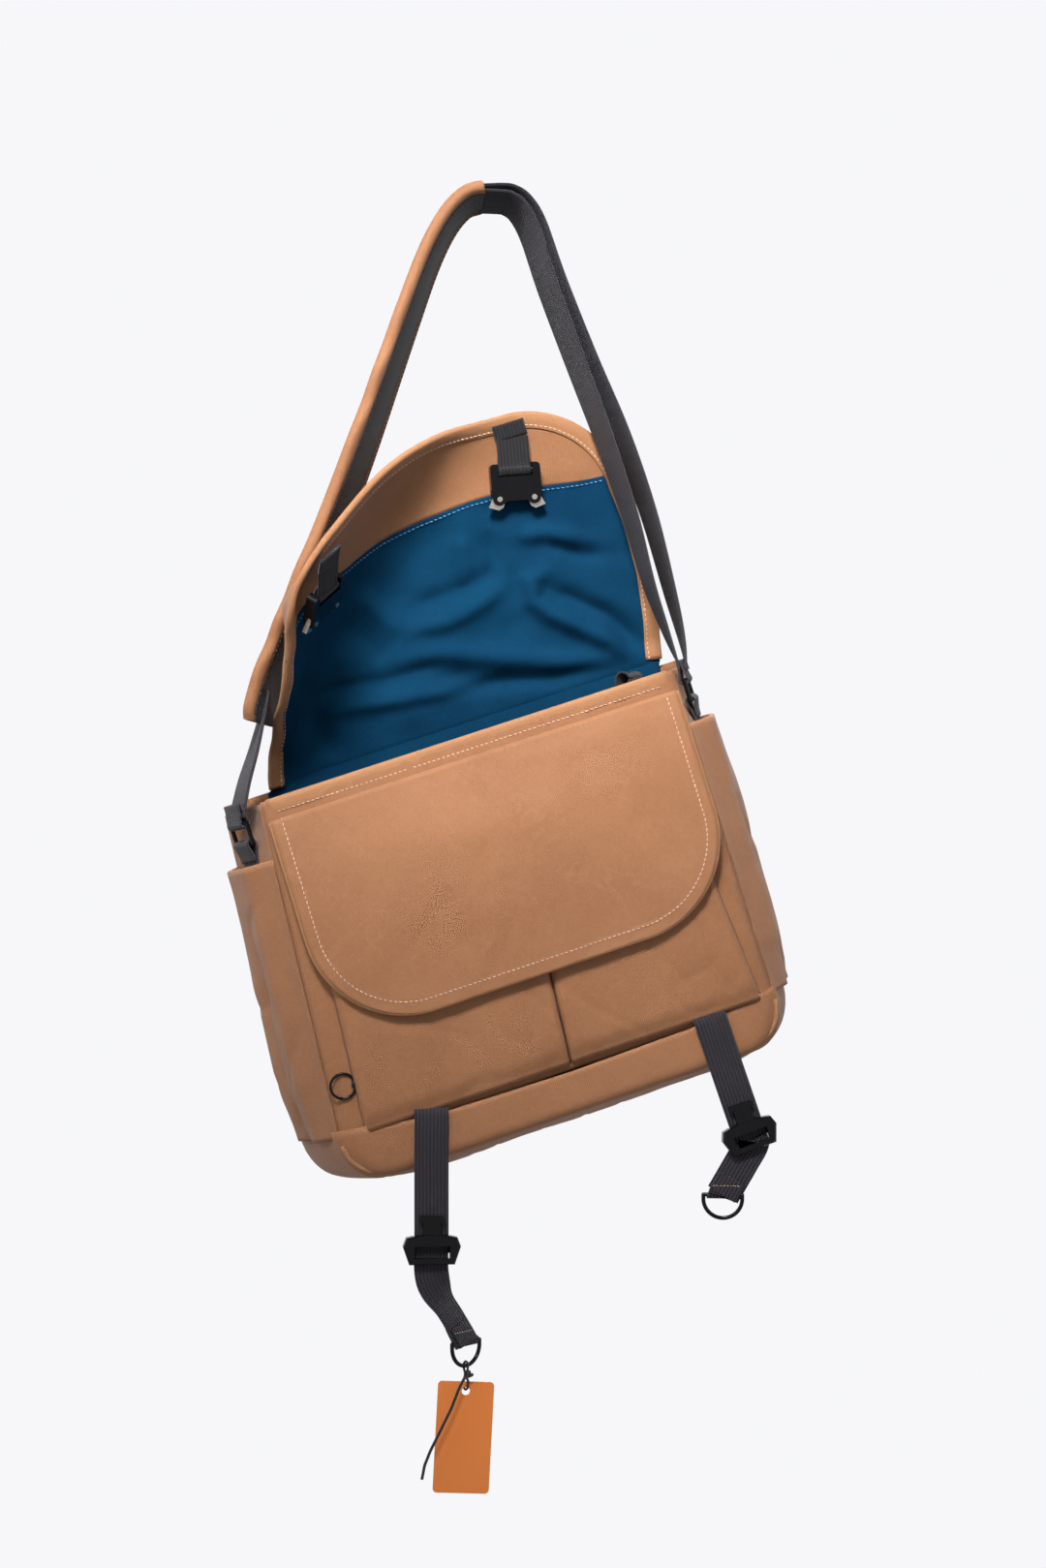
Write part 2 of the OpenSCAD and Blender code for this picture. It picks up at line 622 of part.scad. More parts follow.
// The cord's free end, from the knot on the loop, in the world's own frame
cord_route = [[-27, -59, -861], [-29, -61, -862], [-31, -62, -865], [-33, -62, -869], [-35, -62, -874],
              [-37, -62, -879], [-39, -62, -884], [-42, -62, -890], [-45, -62, -896], [-48, -62, -902],
              [-51, -62, -908], [-54, -62, -914], [-56, -62, -919], [-58, -62, -924], [-59, -62, -929],
              [-60, -62, -934]];
cord_sides = 8;
module tag_cord() color(charcoal) {
    path = spline(cord_route, 2);
    n = len(path);
    points = [for (i = [0:n - 1])
        let (tangent = unit(path[min(i + 1, n - 1)] - path[max(i - 1, 0)]),
             side = unit(cross(tangent, [0, 1, 0])), up = cross(side, tangent))
        for (k = [0:cord_sides - 1])
            path[i] + cord_d / 2 * (cos(360 * k / cord_sides) * side + sin(360 * k / cord_sides) * up)];
    walls = [for (i = [0:n - 2], k = [0:cord_sides - 1])
        [cord_sides * i + k, cord_sides * i + (k + 1) % cord_sides,
         cord_sides * (i + 1) + (k + 1) % cord_sides, cord_sides * (i + 1) + k]];
    polyhedron(points, concat([[for (k = [cord_sides - 1:-1:0]) k]], walls,
        [[for (k = [0:cord_sides - 1]) cord_sides * (n - 1) + k]]));
}

// ---- shoulder strap ----

// Middle line of the padded leg, in X and Z, from the top down
pad_route = [[-9, 4.2], [-22, 0], [-36, -16], [-50, -44], [-66, -88], [-82, -134], [-96, -174], [-110, -212],
             [-126, -254], [-141, -292], [-154, -326], [-165, -356], [-173, -384]];
left_web_route = [[-175, -388], [-180, -408], [-186, -432], [-191, -456]];
inner_route = [[-6, 1.3], [4, 1.1], [10, 0], [18, -6], [27, -23], [40, -62], [61, -118], [83, -176],
               [102, -232], [116, -282], [130, -321], [140, -346]];
outer_route = [[-6, 5.2], [4, 6], [12, 5], [21, -1], [31, -17], [46, -58], [70, -116], [95, -172],
               [116, -230], [132, -288], [141, -323], [145, -347]];
pad_twist = 34;

function lift(route) = [for (p = route) [p[0], 0, p[1]]];
// Width directions: along Y, turned about the path by an angle that ends at twist1
function across_at(path, twist0, twist1, ease = 1) = [for (i = [0:len(path) - 1])
    let (n = len(path) - 1, twist = twist0 + (twist1 - twist0) * pow(i / n, ease),
         tangent = unit(path[min(i + 1, n)] - path[max(i - 1, 0)]),
         inward = cross([0, 1, 0], tangent))
    [0, cos(twist), 0] - inward * sin(twist)];

cover_t = 2;
foam_t = 4;
mesh_t = 2;
module pad_layer(t, off, w) {
    path = spline(lift(pad_route), 3);
    band(path, across_at(path, 10, pad_twist), w, t, off);
}
module pad_cover() color(tan_canvas) pad_layer(cover_t, -(foam_t + cover_t) / 2, pad_w);
module pad_foam() color("#888880") pad_layer(foam_t, 0, pad_w - 4);
module pad_mesh() color(charcoal) pad_layer(mesh_t, (foam_t + mesh_t) / 2, pad_w - 2);

module web_run(route, twist0, twist1) color(charcoal) {
    path = spline(lift(route), 3);
    band(path, across_at(path, twist0, twist1, 4), strap_w, web_t);
}

run_twist = -14;
module strap_web_left() web_run(left_web_route, pad_twist - 10, -side_turn);
module strap_web_outer() web_run(outer_route, run_twist, side_turn);
module strap_web_inner() web_run(inner_route, run_twist, side_turn);

// Metal loop between the shoulder webbing and the anchor, hung by its top bar
module strap_loop(s) color(black_metal) at_side(s) translate([0, 0, ring_z]) {
    for (z = [-1, 1]) translate([0, -strap_w / 2 - 3, z * ring_gap]) rotate([-90, 0, 0])
        cylinder(d = loop_wire, h = strap_w + 6, $fn = 24);
    for (y = [-1, 1]) translate([0, y * (strap_w / 2 + 3), -ring_gap])
        cylinder(d = loop_wire, h = 2 * ring_gap, $fn = 24);
}

// Webbing sewn round both bars of a metal loop
module sleeve(tail_z, tail_h) difference() {
    union() {
        rotate([90, 0, 0]) cylinder(d = sleeve_d, h = strap_w, center = true, $fn = 32);
        translate([-web_t / 2, -strap_w / 2, tail_z]) cube([web_t, strap_w, tail_h]);
    }
    rotate([90, 0, 0]) cylinder(d = loop_wire + 0.6, h = strap_w + 2, center = true, $fn = 32);
}
module anchor_loops() color(charcoal) for (s = [-1, 1]) at_side(s) {
    translate([0, 0, ring_z + ring_gap]) sleeve(2.6, 1);
    translate([0, 0, ring_z - ring_gap]) sleeve(-9, 6.4);
}

front_panel();
back_panel();
gusset(-1);  // left_gusset
gusset(1);  // right_gusset
base_band();
base_piping();
main_lining();
front_rim_binding();
mouth_tab();
left_pouch();
right_pouch();
side_pocket(-1);  // left_side_pocket
side_pocket(1);  // right_side_pocket
side_label();
anchor(-1);  // left_anchor
anchor(1);  // right_anchor
drop_anchors();
key_ring();
key_ring_tab();
pocket_flap_panel();
pocket_flap_binding();
flap_top_canvas();
flap_top_lining();
flap_front_canvas();
flap_front_lining();
flap_front_facing();
right_tab_root();
wing_top_canvas();
wing_front_canvas();
wing_front_lining();
wing_front_facing();
left_tab_root();
in_right_tab() tab();  // right_tab
in_right_tab() female_body();  // right_female_body
in_right_tab() latch(-1);  // right_latch_inner
in_right_tab() latch(1);  // right_latch_outer
in_right_tab() rivets();  // right_rivets
in_left_tab() tab();  // left_tab
in_left_tab() female_body();  // left_female_body
in_left_tab() latch(1);  // left_latch_inner
in_left_tab() latch(-1);  // left_latch_outer
in_left_tab() rivets();  // left_rivets
left_drop_web();
left_male_buckle();
left_ring();
right_drop_web();
right_male_buckle();
right_ring();
tag_card();
tag_loop();
tag_cord();
pad_cover();
pad_foam();
pad_mesh();
strap_web_left();
strap_web_outer();
strap_web_inner();
strap_loop(-1);  // left_loop
strap_loop(1);  // right_loop
anchor_loops();
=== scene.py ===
import json
import math

import bpy
from mathutils import Matrix, Vector, noise


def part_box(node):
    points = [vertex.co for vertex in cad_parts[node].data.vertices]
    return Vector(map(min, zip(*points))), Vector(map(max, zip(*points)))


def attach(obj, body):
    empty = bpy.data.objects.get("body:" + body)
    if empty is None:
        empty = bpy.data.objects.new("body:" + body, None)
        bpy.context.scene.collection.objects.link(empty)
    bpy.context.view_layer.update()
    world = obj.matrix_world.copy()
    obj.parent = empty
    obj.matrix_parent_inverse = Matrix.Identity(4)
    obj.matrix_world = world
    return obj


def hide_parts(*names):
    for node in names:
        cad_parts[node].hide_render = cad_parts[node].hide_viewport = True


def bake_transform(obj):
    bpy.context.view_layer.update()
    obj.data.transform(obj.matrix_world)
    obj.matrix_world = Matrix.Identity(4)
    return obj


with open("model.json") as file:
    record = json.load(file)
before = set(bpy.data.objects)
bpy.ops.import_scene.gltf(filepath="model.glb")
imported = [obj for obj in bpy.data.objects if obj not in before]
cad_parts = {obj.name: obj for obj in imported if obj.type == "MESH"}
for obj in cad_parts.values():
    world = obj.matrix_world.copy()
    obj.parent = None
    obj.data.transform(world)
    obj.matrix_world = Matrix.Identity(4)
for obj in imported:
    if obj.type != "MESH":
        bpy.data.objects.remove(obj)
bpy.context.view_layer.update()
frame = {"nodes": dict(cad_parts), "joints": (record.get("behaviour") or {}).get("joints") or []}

# ---- places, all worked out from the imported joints. Lengths are in mm, and MM makes them metres. ----

MM = 0.001
JOINTS = {j["name"]: j for j in frame["joints"]}
SIDES = ((-1, "left"), (1, "right"))


class Place:
    """A local frame in millimetres. at() gives world points in metres."""

    def __init__(self, origin, x, z):
        self.x = Vector(x).normalized()
        self.z = Vector(z).normalized()
        self.y = self.z.cross(self.x)
        self.origin = Vector(origin)

    def dir(self, x, y=0.0, z=0.0):
        return self.x * x + self.y * y + self.z * z

    def at(self, x, y=0.0, z=0.0):
        return self.origin + self.dir(x, y, z) * MM


def joint_at(name):
    return Vector(JOINTS[name]["pos_m"])


def joint_axis(name):
    return Vector(JOINTS[name]["axis"])


def turned(vector, axis, degrees):
    return Matrix.Rotation(math.radians(degrees), 3, Vector(axis)) @ Vector(vector)


SWING_DROP = 39
POCKET_LEAN = 3.5
bag_x = joint_axis("flap_hinge")
bag_z = bag_x.cross(Vector((0, 1, 0)))
BAG = Place(joint_at("bag_swing") + bag_z * SWING_DROP * MM, bag_x, bag_z)
FLAP = Place(joint_at("flap_hinge"), bag_x, joint_at("flap_fold") - joint_at("flap_hinge"))
POCKET = Place(joint_at("pocket_flap_hinge"), bag_x, turned(bag_z, bag_x, -POCKET_LEAN))
CREASE = joint_axis("wing_top_fold")
FOLD_H = (joint_at("flap_fold") - joint_at("flap_hinge")).length / MM
WING_FOLD = -JOINTS["wing_top_fold"]["range_deg"][0] - 0.5
FLAP_HALF = -(joint_at("wing_top_fold") - FLAP.origin).dot(FLAP.x) / MM

# Driving sizes of the cloth parts
MOUTH_W = 316
BODY_H = 252
BAND_H = 33
DEPTH = 98
SPLAY = 24
BASE_FLARE = 9
BASE_SHIFT = -11
FLAP_H = 212
STRAP_W = 38
WEB_W = 25
WEB_T = 2.2
BINDING_W = 11
CANVAS_T = 1.4
FRONT_Y = -DEPTH / 2
BACK_Y = DEPTH / 2
BASE_Z = -BODY_H - BAND_H


# ---- numbers and curves ----

def smooth(t):
    t = min(1.0, max(0.0, t))
    return t * t * (3 - 2 * t)


def lerp(a, b, t):
    return a + (b - a) * t


def fractions(n):
    return [i / n for i in range(n + 1)]


def spread(a, b, n):
    """n + 1 even steps from a to b."""
    return [lerp(a, b, t) for t in fractions(n)]


def bell(x, middle, width):
    return math.exp(-((x - middle) / width) ** 2)


def arch(u, power=1.0):
    """0 at u = 0 and at u = 1, and 1 halfway."""
    return math.sin(math.pi * u) ** power if 0 < u < 1 else 0.0


def arc(x, y, radius, start, end, n):
    """n + 1 points on an arc. Its angles are in degrees."""
    angles = [math.radians(a) for a in spread(start, end, n)]
    return [(x + radius * math.cos(a), y + radius * math.sin(a)) for a in angles]


def rough(point, scale, seed=0.0):
    """Smooth noise between about -1 and 1 at a point in millimetres."""
    return noise.noise(Vector(point) / scale + Vector((seed, 2.3 * seed, -seed)))


def crease(point, scale, seed, width):
    """1 on thin wandering lines, falling to 0 beside them."""
    return max(0.0, width - abs(rough(point, scale, seed))) / width


def lengths(points):
    total = [0.0]
    for a, b in zip(points, points[1:]):
        total.append(total[-1] + (Vector(b) - Vector(a)).length)
    return total


def catmull(points, steps):
    """Smooth curve through the points, with steps points for each span."""
    p = [Vector(q) for q in points]
    out = []
    for i in range(len(p) - 1):
        a, b, c, d = p[max(i - 1, 0)], p[i], p[i + 1], p[min(i + 2, len(p) - 1)]
        for t in fractions(steps)[:-1]:
            out.append(0.5 * (2 * b + (c - a) * t + (2 * a - 5 * b + 4 * c - d) * t * t
                              + (3 * b - a - 3 * c + d) * t ** 3))
    return out + [p[-1]]


def tangents(path):
    last = len(path) - 1
    return [(path[min(i + 1, last)] - path[max(i - 1, 0)]).normalized() for i in range(last + 1)]


def resample(path, step):
    """Points at even distances of about step along a path, with each one's span and place in it."""
    total = lengths(path)
    count = max(2, round(total[-1] / step))
    out, k = [], 0
    for i in range(count + 1):
        d = total[-1] * i / count
        while k < len(path) - 2 and total[k + 1] < d:
            k += 1
        share = (d - total[k]) / max(total[k + 1] - total[k], 1e-9)
        out.append((path[k].lerp(path[k + 1], share), k, share))
    return out


# ---- pieces ----

# Each material's slot in the record
SLOTS = {"canvas": "tan_canvas", "canvas_binding": "tan_canvas", "pink_thread": "tan_canvas",
         "teal_lining": "teal_lining", "blue_thread": "teal_lining", "mesh_black": "mesh_black",
         "charcoal_webbing": "charcoal_webbing", "black_webbing": "charcoal_webbing"}


def link(data, name):
    piece = bpy.data.objects.new(name, data)
    bpy.context.scene.collection.objects.link(piece)
    return piece


def finish_piece(piece, body, mat, nodes=(), slot=None):
    """Gives a mesh piece its material and body, and hides the CAD nodes that it stands for."""
    piece.data.materials.append(mat)
    for face in piece.data.polygons:
        face.use_smooth = True
    if body:
        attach(piece, body)
    slot or SLOTS[mat.name.split(".")[0]]
    if nodes:
        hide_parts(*nodes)
    return piece


def each(value, path):
    """One value for each point of a path."""
    return value if isinstance(value, list) else [value] * len(path)


def mesh_from_rows(name, rows, closed=False, cap=False):
    """A quad mesh through rows of world points, with a UV map in metres."""
    n = len(rows[0])
    faces = []
    for i in range(len(rows) - 1):
        for j in range(n if closed else n - 1):
            k = (j + 1) % n
            faces.append((i * n + j, i * n + k, (i + 1) * n + k, (i + 1) * n + j))
    if cap:
        faces.append(tuple(range(n))[::-1])
        faces.append(tuple(range((len(rows) - 1) * n, len(rows) * n)))
    mesh = bpy.data.meshes.new(name)
    mesh.from_pydata([tuple(p) for row in rows for p in row], [], faces)
    middle = rows[len(rows) // 2]
    across = lengths(list(middle) + ([middle[0]] if closed else []))
    along = lengths([row[n // 2] for row in rows])
    layer = mesh.uv_layers.new(name="UVMap")
    for face in mesh.polygons:
        at_seam = closed and len(face.vertices) == 4 and max(v % n for v in face.vertices) == n - 1
        for loop, vertex in zip(face.loop_indices, face.vertices):
            i, j = divmod(vertex, n)
            layer.data[loop].uv = (across[n if at_seam and j == 0 else j], along[i])
    mesh.validate()
    mesh.update()
    return mesh


def cloth(name, rows, body, mat, thick=CANVAS_T, nodes=(), closed=False):
    """A sheet of cloth through rows of points. Its thickness goes to the side away from its normals."""
    piece = finish_piece(link(mesh_from_rows(name, rows, closed), name), body, mat, nodes)
    solid = piece.modifiers.new("Thickness", "SOLIDIFY")
    solid.thickness = thick * MM
    solid.offset = -1
    return piece


def sweep(name, path, across, normals, profile, body, mat, nodes=(), tuck=1.0):
    """A closed profile, in mm as (across, normal) pairs, carried along a path of world points.
    A tuck below 1 thins its two ends, so that they slip inside the next piece."""
    last = len(path) - 1
    rows = []
    for i, (p, a, n) in enumerate(zip(path, each(across, path), each(normals, path))):
        share = tuck if i in (0, last) else 1.0
        rows.append([p + (a * u + n * v * share) * MM for u, v in profile])
    return finish_piece(link(mesh_from_rows(name, rows, closed=True, cap=True), name), body, mat, nodes)


def round_profile(radius, n=10):
    return arc(0, 0, radius, 0, 360, n)[:-1]


def flat_profile(width, thick, n=3):
    """A flat bar with round edges."""
    r = thick / 2
    corners = ((1, -90), (1, 0), (-1, 90), (-1, 180))
    return [p for side, start in corners for p in arc(side * (width / 2 - r), 0, r, start, start + 90, n)]


STITCH_RINGS = ((-0.5, 0.15), (-0.36, 0.85), (0.0, 1.0), (0.36, 0.85), (0.5, 0.15))
STITCH_SIDES = 5
STITCH_SKEW = 0.12


def stitches(name, path, normals, body, mat, slot=None, pitch=3.7, length=2.6, radius=0.46):
    """A row of short thread stitches lying on a surface along a path."""
    points, faces = [], []
    normals = each(normals, path)
    for at, k, share in resample(path, pitch * MM)[:-1]:
        after = min(k + 1, len(path) - 1)
        tangent = (path[after] - path[k]).normalized()
        normal = normals[k].lerp(normals[after], share).normalized()
        side = tangent.cross(normal).normalized()
        base = len(points)
        for place, size in STITCH_RINGS:
            run = (tangent + side * STITCH_SKEW) * place * length
            centre = at + (run + normal * radius * 0.5 * (1 - abs(place))) * MM
            for u, v in arc(0, 0, radius * size, 0, 360, STITCH_SIDES)[:-1]:
                points.append(tuple(centre + (side * u + normal * v) * MM))
        for i in range(base, len(points) - STITCH_SIDES, STITCH_SIDES):
            for j in range(STITCH_SIDES):
                m = (j + 1) % STITCH_SIDES
                faces.append((i + j, i + m, i + STITCH_SIDES + m, i + STITCH_SIDES + j))
        faces.append(tuple(range(base, base + STITCH_SIDES))[::-1])
        faces.append(tuple(range(len(points) - STITCH_SIDES, len(points))))
    mesh = bpy.data.meshes.new(name)
    mesh.from_pydata(points, [], faces)
    mesh.update()
    return finish_piece(link(mesh, name), body, mat, slot=slot)


# ---- materials ----

class Nodes:
    """A node tree being built."""

    def __init__(self, tree):
        self.tree = tree

    def add(self, kind, **settings):
        node = self.tree.nodes.new(kind)
        for key, value in settings.items():
            setattr(node, key, value)
        return node

    def put(self, socket, value):
        """Joins a node's output to a socket, or sets the socket's own value."""
        if isinstance(value, bpy.types.NodeSocket):
            self.tree.links.new(value, socket)
        else:
            socket.default_value = value

    def math(self, operation, a, b=0.0, c=0.0):
        node = self.add("ShaderNodeMath", operation=operation)
        for socket, value in zip(node.inputs, (a, b, c)):
            self.put(socket, value)
        return node.outputs[0]

    def ramp(self, value, low, high, to_low=0.0, to_high=1.0):
        node = self.add("ShaderNodeMapRange", clamp=True)
        for key, x in (("Value", value), ("From Min", low), ("From Max", high),
                       ("To Min", to_low), ("To Max", to_high)):
            self.put(node.inputs[key], x)
        return node.outputs["Result"]

    def split(self, vector):
        node = self.add("ShaderNodeSeparateXYZ")
        self.put(node.inputs[0], vector)
        return node.outputs


class Paint(Nodes):
    """A material being built."""

    def __init__(self, name):
        self.material = bpy.data.materials.new(name)
        self.material.use_nodes = True
        super().__init__(self.material.node_tree)
        self.shader = self.tree.nodes["Principled BSDF"]
        self.object = self.add("ShaderNodeTexCoord").outputs["Object"]
        self.uv = self.add("ShaderNodeUVMap").outputs["UV"]

    def finish(self, **values):
        """Sets the shader's sockets. Underscores stand for the spaces in their names."""
        for key, value in values.items():
            self.put(self.shader.inputs[key.replace("_", " ")], value)
        return self.material

    def stretched(self, along_u, along_v):
        """Cloth coordinates scaled unevenly, for slubs that run along one set of threads."""
        node = self.add("ShaderNodeMapping")
        self.put(node.inputs["Vector"], self.uv)
        node.inputs["Scale"].default_value = (along_u, along_v, 1)
        return node.outputs["Vector"]

    def noise(self, scale, detail=3.0, rough=0.55, vector=None, distort=0.0):
        node = self.add("ShaderNodeTexNoise")
        for key, x in (("Vector", vector or self.object), ("Scale", scale), ("Detail", detail),
                       ("Roughness", rough), ("Distortion", distort)):
            self.put(node.inputs[key], x)
        return node.outputs["Fac"]

    def mix(self, share, a, b):
        node = self.add("ShaderNodeMix", data_type="RGBA")
        self.put(node.inputs[0], share)
        for socket, colour in zip(node.inputs[6:8], (a, b)):
            self.put(socket, colour if isinstance(colour, bpy.types.NodeSocket) else (*colour, 1))
        return node.outputs[2]

    def thread(self, coordinate, pitch):
        """0 between threads and 1 on them, for threads pitch metres apart."""
        turns = self.math("MULTIPLY", coordinate, math.pi / pitch)
        return self.math("ABSOLUTE", self.math("SINE", turns))

    def bump(self, height, strength, distance, after=None):
        node = self.add("ShaderNodeBump")
        for key, x in (("Strength", strength), ("Distance", distance), ("Height", height)):
            self.put(node.inputs[key], x)
        if after is not None:
            self.put(node.inputs["Normal"], after)
        return node.outputs["Normal"]


def woven(name, light, middle, dark, pitch, roughness, sheen, wrinkle, wax=0.0, gloss=0.25):
    """Plain weave with slubs, uneven dye, pale creases in the wax, a dusting of lint and painted shade in the
    gaps between its threads.
    """
    m = Paint(name)
    broad = m.noise(7, 4, 0.6, distort=0.5)
    cloud = m.noise(30, 5, 0.65, distort=0.8)
    fleck = m.noise(2600, 1, 0.5)
    slub_u = m.noise(1.0, 2, 0.6, vector=m.stretched(140, 1700))
    slub_v = m.noise(1.0, 2, 0.6, vector=m.stretched(1700, 140))
    slubs = m.math("MAXIMUM", slub_u, slub_v)
    line = m.math("ABSOLUTE", m.math("SUBTRACT", m.noise(13, 3, 0.5, distort=1.4), 0.5))
    line = m.math("MULTIPLY", m.ramp(line, 0.0, 0.012, 1, 0), m.ramp(m.noise(19, 2), 0.5, 0.66))
    u, v, _ = m.split(m.uv)
    weave = m.math("MULTIPLY", m.thread(u, pitch), m.thread(v, pitch))
    colour = m.mix(m.ramp(broad, 0.3, 0.6, 0.45, 1), dark, middle)
    for share, towards in ((m.ramp(cloud, 0.45, 0.8, 0, 0.2), light),
                           (m.ramp(slubs, 0.5, 0.75, 0, 0.45), light),
                           (m.ramp(slubs, 0.5, 0.3, 0, 0.5), dark),
                           (m.ramp(fleck, 0.6, 0.8, 0, 0.2), light),
                           (m.math("MULTIPLY", line, 0.55 * wax), light),
                           # Painted shade: the gaps between the threads are painted darker.
                           (m.ramp(weave, 0.0, 0.6, 0.3, 0), dark)):
        colour = m.mix(share, colour, towards)
    normal = m.bump(m.noise(18, 3, 0.5, distort=0.3), wrinkle, 0.006)
    normal = m.bump(line, 0.3 * wax + 0.02, 0.0006, normal)
    normal = m.bump(slubs, 0.5, 0.0004, normal)
    normal = m.bump(weave, 0.45, 0.0003, normal)
    shine = m.ramp(cloud, 0.3, 0.75, roughness + 0.06, roughness - 0.12 * wax)
    return m.finish(Base_Color=colour, Roughness=shine,
                    Sheen_Weight=sheen, Sheen_Roughness=0.5, Specular_IOR_Level=gloss, Normal=normal)


def ribbed(name, light, dark, rib=0.0026, pick=0.0015, depth=0.0008):
    """Webbing: ribs along its length, crossed by its picks, with painted shade in the grooves between them.
    """
    m = Paint(name)
    u, v, _ = m.split(m.uv)
    ribs = m.thread(u, rib)
    picks = m.thread(m.math("ADD", v, m.math("MULTIPLY", ribs, 0.5 * pick)), pick)
    height = m.math("MULTIPLY", m.math("POWER", ribs, 0.7), m.ramp(picks, 0, 1, 0.6, 1.0))
    fuzz = m.noise(1500, 2, 0.6)
    # Painted shade: the grooves between the ribs and picks are painted darker than the rib tops.
    colour = m.mix(m.ramp(height, 0.15, 0.9), dark, light)
    colour = m.mix(m.ramp(fuzz, 0.5, 0.8, 0, 0.45), colour, [c * 1.7 for c in light])
    colour = m.mix(m.ramp(m.noise(30, 3, 0.5), 0.35, 0.7, 0, 0.35), colour, dark)
    return m.finish(Base_Color=colour, Roughness=0.7, Sheen_Weight=0.12, Specular_IOR_Level=0.3,
                    Normal=m.bump(fuzz, 0.25, 0.0004, m.bump(height, 1.0, depth)))


def metal(name, colour, worn, metallic, roughness):
    """Coated or bare metal with fine handling marks."""
    m = Paint(name)
    marks = m.noise(260, 6, 0.7, distort=1.5)
    return m.finish(Base_Color=m.mix(m.ramp(marks, 0.56, 0.8, 0, 0.5), colour, worn),
                    Roughness=m.ramp(m.noise(45, 3), 0.3, 0.7, roughness, roughness + 0.14),
                    Metallic=metallic, Specular_IOR_Level=0.5 if metallic else 0.28,
                    Normal=m.bump(marks, 0.12, 0.0003))


def mesh_cloth(name):
    """Black spacer mesh: rows of small open cells, with painted shade in their hollows."""
    m = Paint(name)
    cells = m.add("ShaderNodeTexVoronoi", feature="DISTANCE_TO_EDGE")
    m.put(cells.inputs["Vector"], m.object)
    m.put(cells.inputs["Scale"], 520)
    web = m.ramp(cells.outputs["Distance"], 0.03, 0.22, 1, 0)
    # Painted shade: the hollows of the cells are painted darker than the strands between them.
    return m.finish(Base_Color=m.mix(web, (0.006, 0.006, 0.008), (0.045, 0.043, 0.05)), Roughness=0.85,
                    Sheen_Weight=0.2, Normal=m.bump(web, 0.7, 0.0006))


def card(name):
    """Smooth dyed card with a faint fibre."""
    m = Paint(name)
    fibre = m.noise(700, 4, 0.7, distort=2)
    colour = m.mix(m.ramp(m.noise(25, 2), 0.3, 0.7, 0, 0.5), (0.98, 0.27, 0.05), (1.0, 0.31, 0.07))
    colour = m.mix(m.ramp(fibre, 0.5, 0.8, 0, 0.25), colour, (1.0, 0.42, 0.16))
    return m.finish(Base_Color=colour, Roughness=0.6, Normal=m.bump(fibre, 0.15, 0.0002))


def yarn(name, colour, shadow):
    """Twisted sewing thread or braided cord."""
    m = Paint(name)
    twist = m.noise(1400, 2, 0.6)
    return m.finish(Base_Color=m.mix(m.ramp(twist, 0.35, 0.7), shadow, colour), Roughness=0.6,
                    Sheen_Weight=0.3, Normal=m.bump(twist, 0.6, 0.0003))


CANVAS = woven("canvas", (0.47, 0.232, 0.113), (0.355, 0.160, 0.073), (0.245, 0.102, 0.044),
               0.0012, 0.58, 0.1, wrinkle=0.14, wax=0.5)
BINDING = woven("canvas_binding", (0.52, 0.275, 0.135), (0.43, 0.205, 0.094), (0.315, 0.138, 0.060),
                0.0012, 0.56, 0.1, wrinkle=0.15, wax=0.4)
TEAL = woven("teal_lining", (0.002, 0.064, 0.142), (0.0008, 0.042, 0.100), (0.0004, 0.022, 0.062),
             0.0008, 0.85, 0.0, wrinkle=0.2, gloss=0.12)
WEBBING = ribbed("charcoal_webbing", (0.036, 0.032, 0.044), (0.008, 0.007, 0.010))
TAB_WEB = ribbed("black_webbing", (0.018, 0.017, 0.021), (0.004, 0.004, 0.005))
BLACK = metal("black_metal", (0.003, 0.003, 0.004), (0.012, 0.012, 0.014), 0.0, 0.2)
SILVER = metal("silver_metal", (0.82, 0.76, 0.66), (0.6, 0.55, 0.48), 1.0, 0.26)
MESH = mesh_cloth("mesh_black")
CARD = card("orange_card")
PINK_THREAD = yarn("pink_thread", (0.86, 0.62, 0.50), (0.62, 0.38, 0.28))
BLUE_THREAD = yarn("blue_thread", (0.12, 0.42, 0.80), (0.05, 0.24, 0.52))
BLACK_CORD = yarn("black_cord", (0.02, 0.019, 0.022), (0.005, 0.005, 0.006))


# ---- camera, light and floor ----

CAMERA_AT = (-0.2536, -2.2375, -0.4322)
CAMERA_YAW = -7
SENSOR = 36
FOCAL = 104.13
FLOOR_Z = -1.5
FLOOR_RINGS = (0.0003, 0.75, 1.5)
WARM = (1.0, 0.98, 0.96)
COOL = (0.95, 0.97, 1.0)
WHITE = (1, 1, 1)
MIDDLE = (0, 0, -0.5)


def make_camera():
    data = bpy.data.cameras.new("camera")
    data.sensor_width = SENSOR
    data.sensor_fit = "HORIZONTAL"
    data.lens = FOCAL
    camera = link(data, "camera")
    camera.location = CAMERA_AT
    camera.rotation_euler = (math.radians(90), 0, math.radians(CAMERA_YAW))
    bpy.context.scene.camera = camera


def area_light(name, at, aim, size, power, colour=WHITE, beam=180):
    data = bpy.data.lights.new(name, "AREA")
    data.shape = "SQUARE"
    data.size = size
    data.energy = power
    data.spread = math.radians(beam)
    data.color = colour
    lamp = link(data, name)
    lamp.location = at
    lamp.rotation_euler = (Vector(aim) - Vector(at)).to_track_quat("-Z", "Y").to_euler()


def make_world():
    """A pale studio, bright at eye level and dimmer above and below, so that the lamps shape the cloth."""
    world = bpy.data.worlds.new("studio")
    world.use_nodes = True
    m = Nodes(world.node_tree)
    _, y, z = m.split(m.add("ShaderNodeTexCoord").outputs["Generated"])
    level = m.ramp(m.math("ABSOLUTE", z), 0.26, 0.45, 1.0, 0.15)
    behind = m.ramp(y, -0.5, 0.8, 0.5, 1.0)
    background = m.tree.nodes["Background"]
    m.put(background.inputs["Color"], (0.93, 0.93, 0.955, 1))
    m.put(background.inputs["Strength"], m.math("MULTIPLY", level, behind))
    bpy.context.scene.world = world


